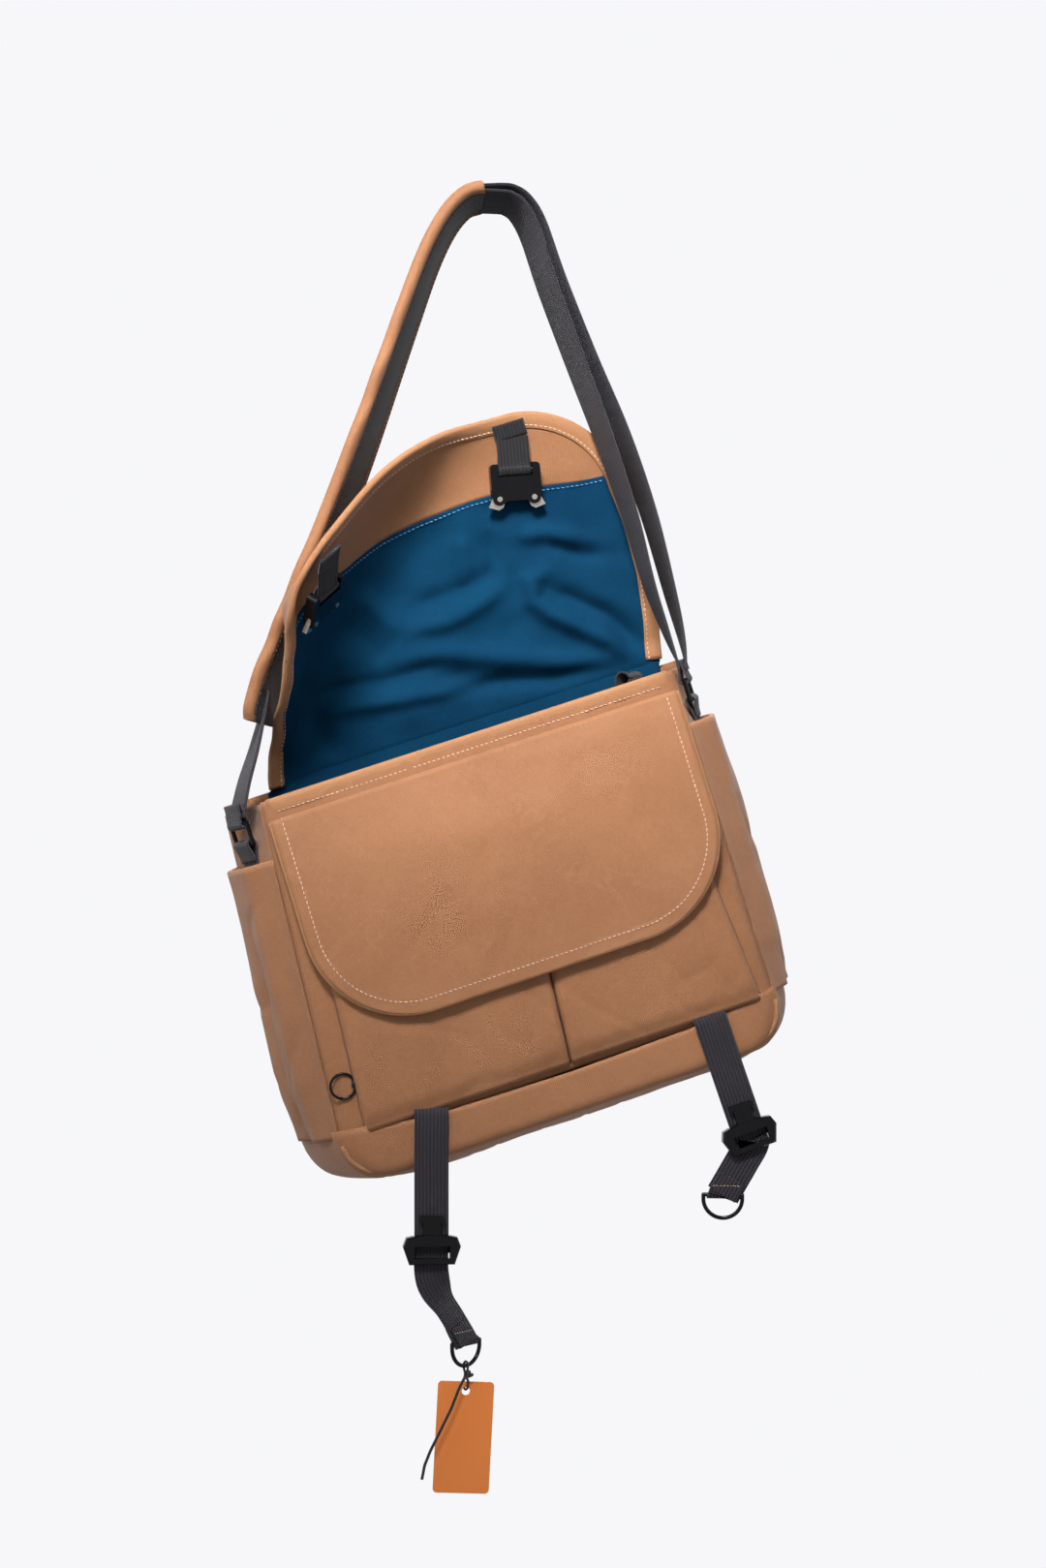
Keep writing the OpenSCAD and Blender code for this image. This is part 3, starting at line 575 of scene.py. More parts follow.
def make_floor():
    rows = [[Vector((*p, FLOOR_Z)) for p in round_profile(radius, 48)] for radius in FLOOR_RINGS]
    floor = link(mesh_from_rows("floor", rows, closed=True), "floor")
    m = Paint("floor_paint")
    paint = m.mix(m.noise(3), (0.78, 0.78, 0.8), (0.84, 0.84, 0.85))
    floor.data.materials.append(m.finish(Base_Color=paint, Roughness=0.9))


make_camera()
make_world()
area_light("key", (-0.35, -1.2, 0.85), (0.02, 0, -0.24), 0.5, 2.9, WARM, 34)
area_light("side", (-1.5, -0.8, 0.5), (0, 0, -0.35), 0.8, 1.6, WARM, 60)
area_light("fill", (1.8, -1.0, 0.3), MIDDLE, 1.4, 5, COOL)
area_light("back", (0.4, 1.8, 0.8), MIDDLE, 1.6, 26)
make_floor()
bpy.context.scene.view_settings.view_transform = "Standard"


# ---- tag cord, at its real length ----

# The cord's route, in mm in the world's frame, as in the CAD model
CORD_ROUTE = [(-27, -59, -861), (-29, -61, -862), (-31, -62, -865), (-33, -62, -869), (-35, -62, -874),
              (-37, -62, -879), (-39, -62, -884), (-42, -62, -890), (-45, -62, -896), (-48, -62, -902),
              (-51, -62, -908), (-54, -62, -914), (-56, -62, -919), (-58, -62, -924), (-59, -62, -929),
              (-60, -62, -934)]
CORD_D = 2.2


def thread_tube(name, points, diameter, nodes=(), closed=False):
    """A round cord of the tag through world points."""
    curve = bpy.data.curves.new(name, "CURVE")
    curve.dimensions = "3D"
    curve.bevel_depth = diameter / 2 * MM
    curve.bevel_resolution = 3
    curve.use_fill_caps = True
    spline = curve.splines.new("POLY")
    spline.points.add(len(points) - 1)
    for target, p in zip(spline.points, points):
        target.co = (*p, 1)
    spline.use_cyclic_u = closed
    curve.materials.append(BLACK_CORD)
    piece = link(curve, name)
    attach(piece, "tag")
    if nodes:
        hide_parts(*nodes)
    return piece


def make_tag_cord():
    route = catmull([Vector(p) * MM for p in CORD_ROUTE], 3)
    piece = thread_tube("tag_cord_end", route, CORD_D, ["tag_cord"])


make_tag_cord()


# ---- bag body ----

LINING_IN = -3.2
LINING_T = 0.7
SEAM_R = 1.5


def front_x(s, z):
    """Where the front wall ends on side s, at height z below the mouth."""
    return s * (MOUTH_W / 2 - BASE_FLARE * z / BODY_H) - BASE_SHIFT * z / BODY_H


def back_x(s, z):
    return front_x(s, z) + s * SPLAY


def sag(x, z, seed):
    """Soft unevenness of a stuffed canvas wall, in mm."""
    dent = 0.8 * crease((x + 0.4 * z, 0.6 * z, 4), 44, seed, 0.12)
    return 1.6 * rough((x, z, 0), 70, seed) + 0.6 * rough((x, z, 9), 26, seed) - dent


def front_point(u, z, lift=0.0):
    """Point on the front wall, u from 0 at the left to 1 at the right."""
    left, right = front_x(-1, z), front_x(1, z)
    x = lerp(left, right, u)
    edge = min(u, 1 - u) * (right - left)
    swell = 5.0 * arch(u, 0.7) * arch(min(1, -z / BODY_H), 0.8)
    tuck = 4.0 * (1 - smooth(edge / 9))
    return BAG.at(x, FRONT_Y + tuck - swell - 0.7 * sag(x, z, 1.0) * smooth(edge / 30) - lift, z)


def gusset_point(s, u, z, lift=0.0):
    """Point on a side wall, u from 0 at the front to 1 at the back. It folds inwards at the mouth."""
    x = lerp(front_x(s, z), back_x(s, z), u)
    y = lerp(FRONT_Y + 4, BACK_Y - 3, u)
    fold = (17 if s > 0 else 11) * smooth(1 + z / 46) * arch(u, 1.4)
    swell = (2.0 * sag(y, z, 3.0 + s) + 2.5) * arch(u)
    return BAG.at(x + s * (swell * smooth(-z / 60) - fold + lift), y, z)


def back_point(u, z, lift=0.0):
    left, right = back_x(-1, z), back_x(1, z)
    x = lerp(left, right, u)
    tuck = 3.0 * (1 - smooth(min(u, 1 - u) * (right - left) / 9))
    return BAG.at(x, BACK_Y - tuck + lift - 0.4 * sag(x, z, 5.0), z)


def make_walls():
    heights = spread(1, -BODY_H - 2, 60)
    backs = spread(5, -BODY_H - 2, 50)
    cloth("front_cloth", [[front_point(u, z) for u in fractions(90)] for z in heights],
          "bag", CANVAS, nodes=["front_panel"])
    cloth("back_cloth", [[back_point(1 - u, z) for u in fractions(60)] for z in backs],
          "bag", CANVAS, nodes=["back_panel"])
    for s, side in SIDES:
        rows = [[gusset_point(s, u, z - 3 * smooth(1 + z / 8)) for u in fractions(30)[::s]] for z in heights]
        cloth(side + "_gusset_cloth", rows, "bag", CANVAS, nodes=[side + "_gusset"])
        for corner, point, deep, out in (("front", front_point, -3.0, -0.7), ("back", back_point, -2.4, 0.7)):
            path = [point((s + 1) / 2, z, deep) for z in heights[2:]]
            sweep(f"{side}_{corner}_seam", path, BAG.y, BAG.dir(s * 0.7, out), round_profile(SEAM_R),
                  "bag", BINDING)


def lining_ring(z):
    """The lining follows the walls, just inside them."""
    wide, deep = spread(0.02, 0.98, 40), fractions(14)[1:-1]
    ring = [front_point(u, z, LINING_IN) for u in wide]
    ring += [gusset_point(1, u, z, LINING_IN) for u in deep]
    ring += [back_point(1 - u, z, LINING_IN) for u in wide]
    ring += [gusset_point(-1, 1 - u, z, LINING_IN) for u in deep]
    return ring[::-1]


def make_lining():
    rows = [lining_ring(z) for z in spread(-1, -BODY_H + 6, 34)]
    lowest = rows[-1]
    centre = sum(lowest, Vector()) / len(lowest)
    rows += [[centre.lerp(p, t) for p in lowest] for t in (0.7, 0.4, 0.15)]
    cloth("lining_bag", rows, "bag", TEAL, LINING_T, ["main_lining"], closed=True)


# ---- base band and its piping ----

BASE_CORNER = 27
BASE_EDGE = 7
BAND_OUT = 1.4
BAND_LEVELS = (0, 4, 9, 14, 19, 23, 26, 28.5, 30.5, 31.8, 32.6, BAND_H)
BELLY = 9.0


def round_in(radius, rise):
    """How far a rounded lower edge draws in, at a height above its lowest line."""
    return radius - math.sqrt(max(0.0, radius ** 2 - max(0.0, radius - rise) ** 2))


def band_ring(z):
    """Outline of the base band at a height, its bottom corners rounded."""
    cut = round_in(BASE_CORNER, z - BASE_Z)
    soft = round_in(BASE_EDGE, z - BASE_Z)
    x0, x1 = [front_x(s, -BODY_H) + s * (BAND_OUT - cut) for s in (-1, 1)]
    b0, b1 = [back_x(s, -BODY_H) + s * (BAND_OUT - cut * 0.8) for s in (-1, 1)]
    front, back = FRONT_Y + soft - BAND_OUT, BACK_Y - soft + BAND_OUT
    wide, deep = fractions(80)[:-1], fractions(24)[:-1]
    ring = []
    for u in wide:
        x, edge = lerp(x0, x1, u), min(u, 1 - u) * (x1 - x0)
        tuck, bow = 5 * (1 - smooth(edge / 12)), 2.6 * arch(u, 0.6)
        ring.append((x, front + tuck - bow - 0.5 * sag(x, z, 7.0) * smooth(edge / 20)))
    ring += [(lerp(x1, b1, u) + 3 * arch(u), lerp(front + 5, back - 4, u)) for u in deep]
    for u in wide:
        edge = min(u, 1 - u) * (b1 - b0)
        ring.append((lerp(b1, b0, u), back - 4 * (1 - smooth(edge / 12))))
    ring += [(lerp(b0, x0, u) - 3 * arch(u), lerp(back - 4, front + 5, u)) for u in deep]
    return ring


def seam_rise(x):
    """The base seam rises a little towards the bag's corners."""
    along = abs(x - BASE_SHIFT * 0.4) / (MOUTH_W / 2)
    return 9 * smooth((along - 0.62) / 0.5) - 3 * (1 - along)


def make_band():
    rows = []
    for i, level in enumerate(BAND_LEVELS):
        z, share = -BODY_H - level, 1 - i / (len(BAND_LEVELS) - 1)
        rows.append([BAG.at(x, y, z + seam_rise(x) * share ** 2) for x, y in band_ring(z)])
    middle = (front_x(-1, -BODY_H) + front_x(1, -BODY_H)) / 2
    for t in (0.92, 0.75, 0.5, 0.25, 0.05):
        rows.append([BAG.at(lerp(middle, x, 0.75 + 0.25 * t), y * t,
                            BASE_Z - BELLY * (1 - t * t) - 2.0 * sag(x, y, 8.0) * (1 - t))
                     for x, y in band_ring(BASE_Z)])
    cloth("base_band_cloth", rows, "bag", CANVAS, nodes=["base_band"], closed=True)


def make_piping():
    """Piping round the lower front and back edges."""
    r = BASE_CORNER
    for name, y, wall, nodes in (("front_piping", FRONT_Y + 1.6, front_x, ["base_piping"]),
                                 ("back_piping", BACK_Y - 1.6, back_x, ())):
        x0, x1 = wall(-1, -BODY_H) + r, wall(1, -BODY_H) - r
        path = arc(x0, BASE_Z + r, r + 0.5, 180, 270, 12)
        path += [(lerp(x0, x1, u), BASE_Z - 0.5 - 2.0 * arch(u)) for u in fractions(50)[1:-1]]
        path += arc(x1, BASE_Z + r, r + 0.5, 270, 360, 12)
        points = [BAG.at(x, y, z + 4.5) for x, z in path]
        outs = [t.cross(BAG.y) for t in tangents(points)]
        sweep(name, points, BAG.y, outs, round_profile(1.9), "bag", BINDING, nodes)


make_walls()
make_lining()
make_band()
make_piping()


# ---- rim binding, mouth tab ----

RIM_PROFILE = [(-1.3, -0.8), (-1.9, 0.2), (-1.2, 1.5), (1.5, 1.9), (BINDING_W - 1.2, 1.5), (BINDING_W, 0.7),
               (BINDING_W - 0.6, 0.0), (2, 0.2), (1, -2.4), (BINDING_W - 2, -2.9), (BINDING_W - 2, -3.9),
               (0.6, -3.6)]
GUSSET_RIM_PROFILE = [(-1.4, -1.6), (-2.0, -0.4), (-1.2, 0.9), (8.5, 0.7), (9.2, 0.1), (1.0, -0.2),
                      (8.4, -2.6), (8.4, -3.4), (0.4, -3.2)]


def make_rim():
    path = [front_point(u, 0) for u in spread(0.012, 0.988, 90)]
    sweep("front_rim_cloth", path, -BAG.z, -BAG.y, RIM_PROFILE, "bag", BINDING, ["front_rim_binding"])
    seam = [p + BAG.dir(0, -1.9, 2.4 - BINDING_W) * MM for p in path[2:-2]]
    stitches("front_rim_stitches", seam, -BAG.y, "bag", PINK_THREAD)
    for s, side in SIDES:
        points = [gusset_point(s, u, -2.5) for u in fractions(30)]
        sweep(side + "_gusset_rim", points, -BAG.z, BAG.dir(s), GUSSET_RIM_PROFILE, "bag", BINDING)
        line = [p + BAG.dir(-s * 3.5, 0, -7) * MM for p in points[2:-2]]
        stitches(side + "_gusset_stitches", line, BAG.dir(-s), "bag", PINK_THREAD)


def ribbon(name, path, across, width, body, mat=WEBBING, nodes=(), thick=WEB_T):
    """Flat webbing along a path of world points."""
    sides, normals = [], []
    for t, a in zip(tangents(path), each(across, path)):
        side = (a - t * a.dot(t)).normalized()
        sides.append(side)
        normals.append(t.cross(side))
    return sweep(name, path, sides, normals, flat_profile(width, thick), body, mat, nodes)


def make_mouth_tab():
    """A folded tab that stands up inside the mouth."""
    stops = [(127, -27, -26), (133, -26, -8), (134, -24, 4), (128, -22, 7), (125, -21, 0), (124, -21, -14)]
    path = catmull([BAG.at(*p) for p in stops], 8)
    ribbon("mouth_tab_web", path, BAG.dir(0.75, 0.6, -0.2), 18, "bag", TAB_WEB, ["mouth_tab"])


make_rim()
make_mouth_tab()


# ---- front pouches ----

POUCH_TOP = -100
POUCH_FOOT = -BODY_H + 3
POUCH_OUT = 6.6
POUCH_GAP = 0.9


def pouch_split(z):
    return lerp(3, -2.6, (z + 180) / -76)


def pouch_left(z):
    return lerp(-148.9, -158.6, (z + 130) / -115)


def pouch_right(z):
    return lerp(137.5, 145.2, (z + 143) / -94)


def pouch_point(x, z, left, right):
    """Point on a pouch between its left and right edges. It stands out most along its foot."""
    edge = min(x - left, right - x)
    u = (x - front_x(-1, z)) / (front_x(1, z) - front_x(-1, z))
    high = POUCH_OUT * (0.55 + 0.45 * smooth((z - POUCH_FOOT) / 14)) * smooth((edge + 1.5) / 5)
    soft = 1.1 * rough((x, z, 0), 46, 11.0) - 0.6 * crease((x, z, 8), 36, 12.0, 0.15)
    return front_point(u, z, max(0.5, high + soft * smooth(edge / 16)))


def make_pouches():
    shares = [0.35 * (0.5 - 0.5 * math.cos(math.pi * u)) + 0.65 * u for u in fractions(60)]
    for node, left, right in (("left_pouch", pouch_left, lambda z: pouch_split(z) - POUCH_GAP),
                              ("right_pouch", lambda z: pouch_split(z) + POUCH_GAP, pouch_right)):
        rows = []
        for z in spread(POUCH_TOP, POUCH_FOOT, 50):
            a, b = left(z), right(z)
            rows.append([pouch_point(lerp(a, b, t), z, a, b) for t in shares])
        cloth(node + "_cloth", rows, "bag", CANVAS, nodes=[node])


make_pouches()


# ---- pocket flap ----

POCKET_H = 166
POCKET_R = 74
POCKET_MID = -3.0
POCKET_HALF = MOUTH_W / 2 - 2
POCKET_T = 1.6
POCKET_PROFILE = [(-1.2, -0.9), (-1.5, 0.2), (-0.8, 1.2), (2.0, 1.3), (BINDING_W - 2.6, 1.1),
                  (BINDING_W - 0.8, 1.6), (BINDING_W + 0.1, 1.0), (BINDING_W + 0.3, -0.2), (1.5, -1.2),
                  (BINDING_W, -1.8), (BINDING_W, -2.6), (0.2, -2.4)]


def pocket_half(d):
    """Half the flap's width at a distance below its hinge."""
    over = max(0.0, min(d, POCKET_H - 0.02) - (POCKET_H - POCKET_R))
    return POCKET_HALF - POCKET_R + math.sqrt(POCKET_R ** 2 - over ** 2)


def pocket_point(x, d):
    """Point on the pocket flap, d below its hinge."""
    u = x / (MOUTH_W / 2)
    swell = 7.0 * (1 - u * u) * smooth(d / 60) * (1 - 0.5 * smooth((d - 80) / 90))
    soft = 1.3 * rough((x, d, 0), 66, 21.0) + 0.35 * rough((x, d, 5), 26, 22.0)
    soft -= 0.4 * crease((x + 0.5 * d, 0.7 * d, 7), 52, 23.0, 0.14)
    start = smooth(d / 18)
    return POCKET.at(x + POCKET_MID * d / POCKET_H, -swell - soft * start + 1.2 * (1 - start), -d)


def pocket_outline(inset):
    """Flat points round the free edge, moved in by inset."""
    corner_x, corner_d = POCKET_HALF - POCKET_R, POCKET_H - POCKET_R
    half = [(inset - POCKET_HALF, d) for d in spread(2, corner_d, 40)]
    half += arc(-corner_x, corner_d, POCKET_R - inset, 180, 90, 26)[1:-1]
    bottom = [(x, POCKET_H - inset) for x in spread(-corner_x, corner_x, 30)]
    return half + bottom + [(-x, d) for x, d in reversed(half)]


def pocket_normal(x, d):
    a = pocket_point(x + 1, d) - pocket_point(x - 1, d)
    b = pocket_point(x, d + 1) - pocket_point(x, d - 1)
    out = a.cross(b).normalized()
    return out if out.y < 0 else -out


def make_pocket_flap():
    rows = []
    for t in fractions(70):
        d = 1 + (POCKET_H - 1) * math.sin(0.5 * math.pi * t)
        half = pocket_half(d)
        rows.append([pocket_point(x, d) for x in spread(-half, half, 90)])
    cloth("pocket_flap_cloth", rows, "pocket_flap", CANVAS, POCKET_T, ["pocket_flap_panel"])
    path = [pocket_point(*p) for p in pocket_outline(0)]
    inner = pocket_outline(BINDING_W)
    inward = [(pocket_point(*q) - p).normalized() for p, q in zip(path, inner)]
    normals = [pocket_normal(*q) for q in inner]
    sweep("pocket_binding_cloth", path, inward, normals, POCKET_PROFILE, "pocket_flap", BINDING,
          ["pocket_flap_binding"])
    seam = [p + (i * (BINDING_W - 2.4) + n * 1.45) * MM for p, i, n in zip(path, inward, normals)]
    stitches("pocket_flap_stitches", seam, normals, "pocket_flap", PINK_THREAD)


make_pocket_flap()


# ---- side pockets ----

SIDE_TOP = -42
LABEL_T = 0.8
HEM_PROFILE = [(-0.8, -1.8), (-1.1, -0.6), (-0.6, 0.5), (9.6, 0.5), (10.2, 0.0), (1.0, -1.0), (9.6, -1.8),
               (9.6, -2.4), (0.2, -2.3)]


def side_point(s, u, z, lift=0.0):
    """Point on a side pocket, u from 0 at the bag's front corner to 1 at its back corner."""
    x = lerp(front_x(s, z), back_x(s, z), u)
    y = lerp(FRONT_Y + 3, BACK_Y - 1, u)
    edge = min(u, 1 - u)
    belly = 15 * smooth(edge / 0.3) * (1 - 0.45 * smooth((-z - 200) / 60))
    fold = 3.0 * bell(u, 0.5 + 0.06 * math.sin(z / 40), 0.10) * smooth((-z - 80) / 60)
    pull = 1.4 * sag(y, z, 31.0 + s) * smooth(edge / 0.2)
    return BAG.at(x + s * (0.8 + belly - fold + pull + lift), y, z)


def make_side_pockets():
    across = fractions(44)
    for s, side in SIDES:
        rows = [[side_point(s, u, z) for u in across[::s]] for z in spread(SIDE_TOP, -BODY_H + 3, 60)]
        cloth(side + "_side_cloth", rows, "bag", CANVAS, nodes=[side + "_side_pocket"])
        hem = [side_point(s, u, SIDE_TOP) for u in across]
        sweep(side + "_side_hem", hem, -BAG.z, BAG.dir(s), HEM_PROFILE, "bag", BINDING)
    label = [[side_point(-1, u, z, 0.9) for u in spread(0.87, 1.005, 6)[::-1]] for z in spread(-48, -76, 12)]
    cloth("side_label_cloth", label, "bag", TAB_WEB, LABEL_T, ["side_label"])


make_side_pockets()


# ---- main flap: one curled sheet, cut at the fold line ----

CURL = 12
CORNER_LEFT = 56
CORNER_RIGHT = 74
CROWN = 12
BEND = 34
FLAP_T = 0.9
OUTER_OFF = 1.0
INNER_OFF = -0.4
COLUMNS = 150
LAP = 2.5
LAP_IN = 0.12
STITCH_IN = BINDING_W - 2.2

# Folds in the hanging flap: a line on the flat cloth, its height towards the outer side, and its half-width.
# Negative ones stand out towards the lining's side.
FOLDS = [([(150, 2), (136, 26), (116, 44), (98, 60), (88, 74), (90, 88), (102, 92)], -8.0, 9),
         ([(158, 16), (140, 46), (120, 64), (104, 78)], 7.0, 9),
         ([(146, 6), (104, 20), (66, 34), (18, 54), (-20, 62)], -7.0, 11),
         ([(132, 2), (90, 8), (40, 24), (0, 36)], 6.5, 11),
         ([(70, 92), (48, 84), (20, 78), (-8, 82)], -6.0, 9), ([(60, 104), (30, 98), (0, 96)], 4.5, 10),
         ([(52, 140), (46, 118), (42, 98)], -4.5, 9), ([(72, 136), (68, 112), (60, 96)], 4.0, 9),
         ([(-92, 44), (-50, 36), (0, 30), (40, 30)], -5.5, 8), ([(-90, 60), (-40, 50), (10, 50)], 5.0, 9),
         ([(-44, 126), (-28, 102), (-14, 80)], -6.0, 12), ([(-64, 110), (-44, 84), (-30, 66)], 5.0, 12),
         ([(140, 106), (112, 120), (90, 124)], -5.0, 8), ([(152, 90), (126, 100), (110, 112)], 4.0, 8),
         ([(-122, 110), (-128, 60), (-120, 16)], -5.0, 12), ([(-100, 76), (-98, 40), (-92, 8)], 4.5, 11)]


def half_left(h):
    return 147 - 5 * bell(h, 45, 25) - 6 * smooth((h - 110) / 50)


def half_right(h):
    return 168 + 14 * arch(h / 200)


def across_flap(h, u, edge=0.0):
    return lerp(-half_left(h) + edge, half_right(h) - edge, u)


def top_rise(x):
    """The free edge is cut with a crown."""
    return CROWN * bell(x, 29, 56)


def seam_height(x):
    """The edge of the lining across the flap."""
    return 149 + 10 * bell(x, 66, 74) - 15 * smooth((-x - 60) / 90) - 3 * smooth((x - 100) / 60)


def ridge(x, h, line, size, width):
    """One fold: highest on its line, and fading out towards both its ends."""
    spot = Vector((x, h))
    spans = len(line) - 1
    found = []
    for k in range(spans):
        a, b = Vector(line[k]), Vector(line[k + 1])
        t = min(1.0, max(0.0, (spot - a).dot(b - a) / (b - a).length_squared))
        found.append(((spot - a.lerp(b, t)).length, (k + t) / spans))
    near, share = min(found)
    return 0.85 * size * bell(near, 0, 0.78 * width) * smooth(0.35 + 2.6 * min(share, 1 - share))


def waves(x, h):
    """Height of the folds in the hanging flap, in mm, towards its outer side."""
    total = sum(ridge(x, h, *fold) for fold in FOLDS)
    total += 2.6 * rough((x, h, 0), 58, 41.0) + 1.5 * rough((x + 0.7 * h, h - 0.7 * x, 3), 26, 43.0)
    calm = smooth(h / 22) * (1 - 0.85 * smooth((h - 150) / 26))
    flat_root = 1 - 0.9 * smooth(1.6 - math.hypot(x + 112, h - 178) / 34)
    billow = 15 * bell(x, -22, 62 if x > -22 else 92) * smooth((h - 60) / 120)
    behind_buckle = 15 * bell(math.hypot(x + 110, 1.1 * (h - 158)), 0, 30) * smooth((x + 140) / 16)
    return total * calm * flat_root + billow + behind_buckle


CREASE_AT = Vector((-FLAP_HALF, 0.0))
CREASE_DIR = Vector((CREASE.dot(FLAP.x), CREASE.dot(FLAP.z))).normalized()
CREASE_OUT = Vector((-CREASE_DIR.y, CREASE_DIR.x))


def flap_mid(x, h, off=0.0):
    """Point on the flap's middle surface at x across and h up the flat cloth; off is towards its outer side.
    Beyond the crease the left corner curls forward, its lower edge further than its upper end."""
    flat = Vector((x, h)) - CREASE_AT
    along, over = flat.dot(CREASE_DIR), flat.dot(CREASE_OUT)
    out = waves(x, h) + off
    if over <= -BEND:
        return FLAP.at(x, out, h)
    fold = math.radians(WING_FOLD + CURL * (1 - smooth(along / 150)) * smooth(over / 70))
    turn = fold * (min(over, BEND) + BEND) / (2 * BEND)
    radius = BEND / math.tan(fold / 2)
    past = max(0.0, over - BEND)
    slide = -BEND + radius * math.sin(turn) + past * math.cos(fold) + out * math.sin(turn)
    lift = radius * (1 - math.cos(turn)) + past * math.sin(fold)
    place = CREASE_AT + CREASE_DIR * along + CREASE_OUT * slide
    return FLAP.at(place.x, -lift + out * math.cos(turn), place.y)


def flap_normal(x, h):
    """Unit normal towards the lining side."""
    a = flap_mid(x + 1, h) - flap_mid(x - 1, h)
    b = flap_mid(x, h + 1) - flap_mid(x, h - 1)
    return a.cross(b).normalized()


def flap_outline(inset=0.0, start=FOLD_H, step=3.0):
    """Flat points round the free edge, from the left side at height start to the right side."""
    low_l, low_r = FLAP_H - CORNER_LEFT, FLAP_H - CORNER_RIGHT
    x0, x1 = -half_left(low_l) + CORNER_LEFT, half_right(low_r) - CORNER_RIGHT
    rise, fall = [max(2, round((low - start) / step)) for low in (low_l, low_r)]
    turn_l, turn_r = [round(math.pi / 2 * corner / step) for corner in (CORNER_LEFT, CORNER_RIGHT)]
    points = [(-half_left(h) + inset, h) for h in spread(start, low_l, rise)[:-1]]
    points += [(x, h + top_rise(x)) for x, h in arc(x0, low_l, CORNER_LEFT - inset, 180, 90, turn_l)]
    points += [(x, FLAP_H - inset + top_rise(x)) for x in spread(x0, x1, round((x1 - x0) / step))[1:-1]]
    r = CORNER_RIGHT - inset
    points += [(x, h + top_rise(x) * (h - low_r) / r) for x, h in arc(x1, low_r, r, 90, 0, turn_r)]
    points += [(half_right(h) - inset, h) for h in spread(low_r, start, fall)[1:]]
    return points


def even(points, count):
    """count + 1 flat points at even distances along a flat line."""
    path = [Vector((*p, 0)) for p in points]
    return [(q.x, q.y) for q, _, _ in resample(path, lengths(path)[-1] / count)]


def blend_wing(piece, flap_body, wing_body):
    """Bakes a piece's placement into its mesh."""
    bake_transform(piece)


def flap_sweep(name, flat, profile, bodies, mat):
    """A profile carried along a line on the flap."""
    path = [flap_mid(*p) for p in flat]
    normals = [flap_normal(*p) for p in flat]
    across = [t.cross(n).normalized() for t, n in zip(tangents(path), normals)]
    blend_wing(sweep(name, path, across, normals, profile, None, mat, tuck=0.92), *bodies)


def flap_stitches(name, flat, lift, bodies, mat):
    normals = [flap_normal(*p) for p in flat]
    path = [flap_mid(*p) + n * lift * MM for p, n in zip(flat, normals)]
    blend_wing(stitches(name, path, normals, None, mat), *bodies)


EDGE_PROFILE = [(-1.2, -1.6), (-1.9, 0.0), (-1.3, 1.9), (0.5, 2.7), (BINDING_W - 4.2, 2.5),
                (BINDING_W - 2.2, 1.9), (BINDING_W - 0.8, 2.4), (BINDING_W, 1.8), (BINDING_W, 0.9),
                (1.4, 0.8), (1.4, -0.4), (BINDING_W - 1, -1.4), (BINDING_W - 1, -2.4), (0.6, -2.5)]
LINING_EDGE_PROFILE = [(-1.0, 0.2), (-1.0, 1.0), (0.0, 1.3), (4.5, 1.2), (6.0, 0.7), (6.0, 0.2)]
TOP_BODIES = ("flap_top", "wing_top")
FRONT_BODIES = ("flap_front", "wing_front")


def low_rows(off, lap):
    """The cloth between the hinge and the fold line, and a hidden lap beyond it."""
    rows = []
    for h in [0, 0.8, 1.6, *spread(2.4, FOLD_H, 50), FOLD_H + LAP]:
        sunk = lap if h > FOLD_H else 6 * lap * (1 - smooth(h / 3))
        rows.append([flap_mid(across_flap(h, u), h, off + sunk) for u in fractions(COLUMNS)])
    return rows


def rows_between(a, b, steps, off, lap=None):
    """Cloth between two flat lines, with a hidden lap before the first one."""
    rows = [] if lap is None else [[flap_mid(x, h - LAP, off + lap) for x, h in a]]
    for t in fractions(steps):
        rows.append([flap_mid(lerp(p[0], q[0], t), lerp(p[1], q[1], t), off) for p, q in zip(a, b)])
    return rows


def facing_in(rows):
    """The same rows, with their normals towards the lining's side."""
    return [row[::-1] for row in rows]


def flap_sheet(name, rows, mat, thick, nodes, bodies):
    """A sheet of the flap."""
    piece = cloth(name, rows, None, mat, thick, nodes)
    blend_wing(piece, *bodies)


def make_flap_sheets(seam):
    fold = [(across_flap(FOLD_H, u), FOLD_H) for u in fractions(COLUMNS)]
    outline = even(flap_outline(1.0), COLUMNS)
    left_h, right_h = seam[0][1], seam[-1][1]
    rim = [(x, h) for x, h in flap_outline(1.0) if h > (left_h if x < 0 else right_h) + 0.5]
    ends = (1 - half_left(left_h), left_h + 0.2), (half_right(right_h) - 1, right_h + 0.2)
    rim = even([ends[0], *rim, ends[1]], COLUMNS)
    flap_sheet("flap_top_outer", low_rows(OUTER_OFF, -LAP_IN), CANVAS, FLAP_T,
               ["flap_top_canvas", "wing_top_canvas"], TOP_BODIES)
    flap_sheet("flap_top_blue", facing_in(low_rows(INNER_OFF, LAP_IN)), TEAL, LINING_T,
               ["flap_top_lining"], TOP_BODIES)
    flap_sheet("flap_front_outer", rows_between(fold, outline, 34, OUTER_OFF, -LAP_IN), CANVAS, FLAP_T,
               ["flap_front_canvas", "wing_front_canvas"], FRONT_BODIES)
    flap_sheet("flap_front_blue", facing_in(rows_between(fold, seam, 14, INNER_OFF, LAP_IN)), TEAL, LINING_T,
               ["flap_front_lining", "wing_front_lining"], FRONT_BODIES)
    flap_sheet("flap_facing", facing_in(rows_between(seam, rim, 22, INNER_OFF / 2)), CANVAS, FLAP_T,
               ["flap_front_facing", "wing_front_facing"], FRONT_BODIES)


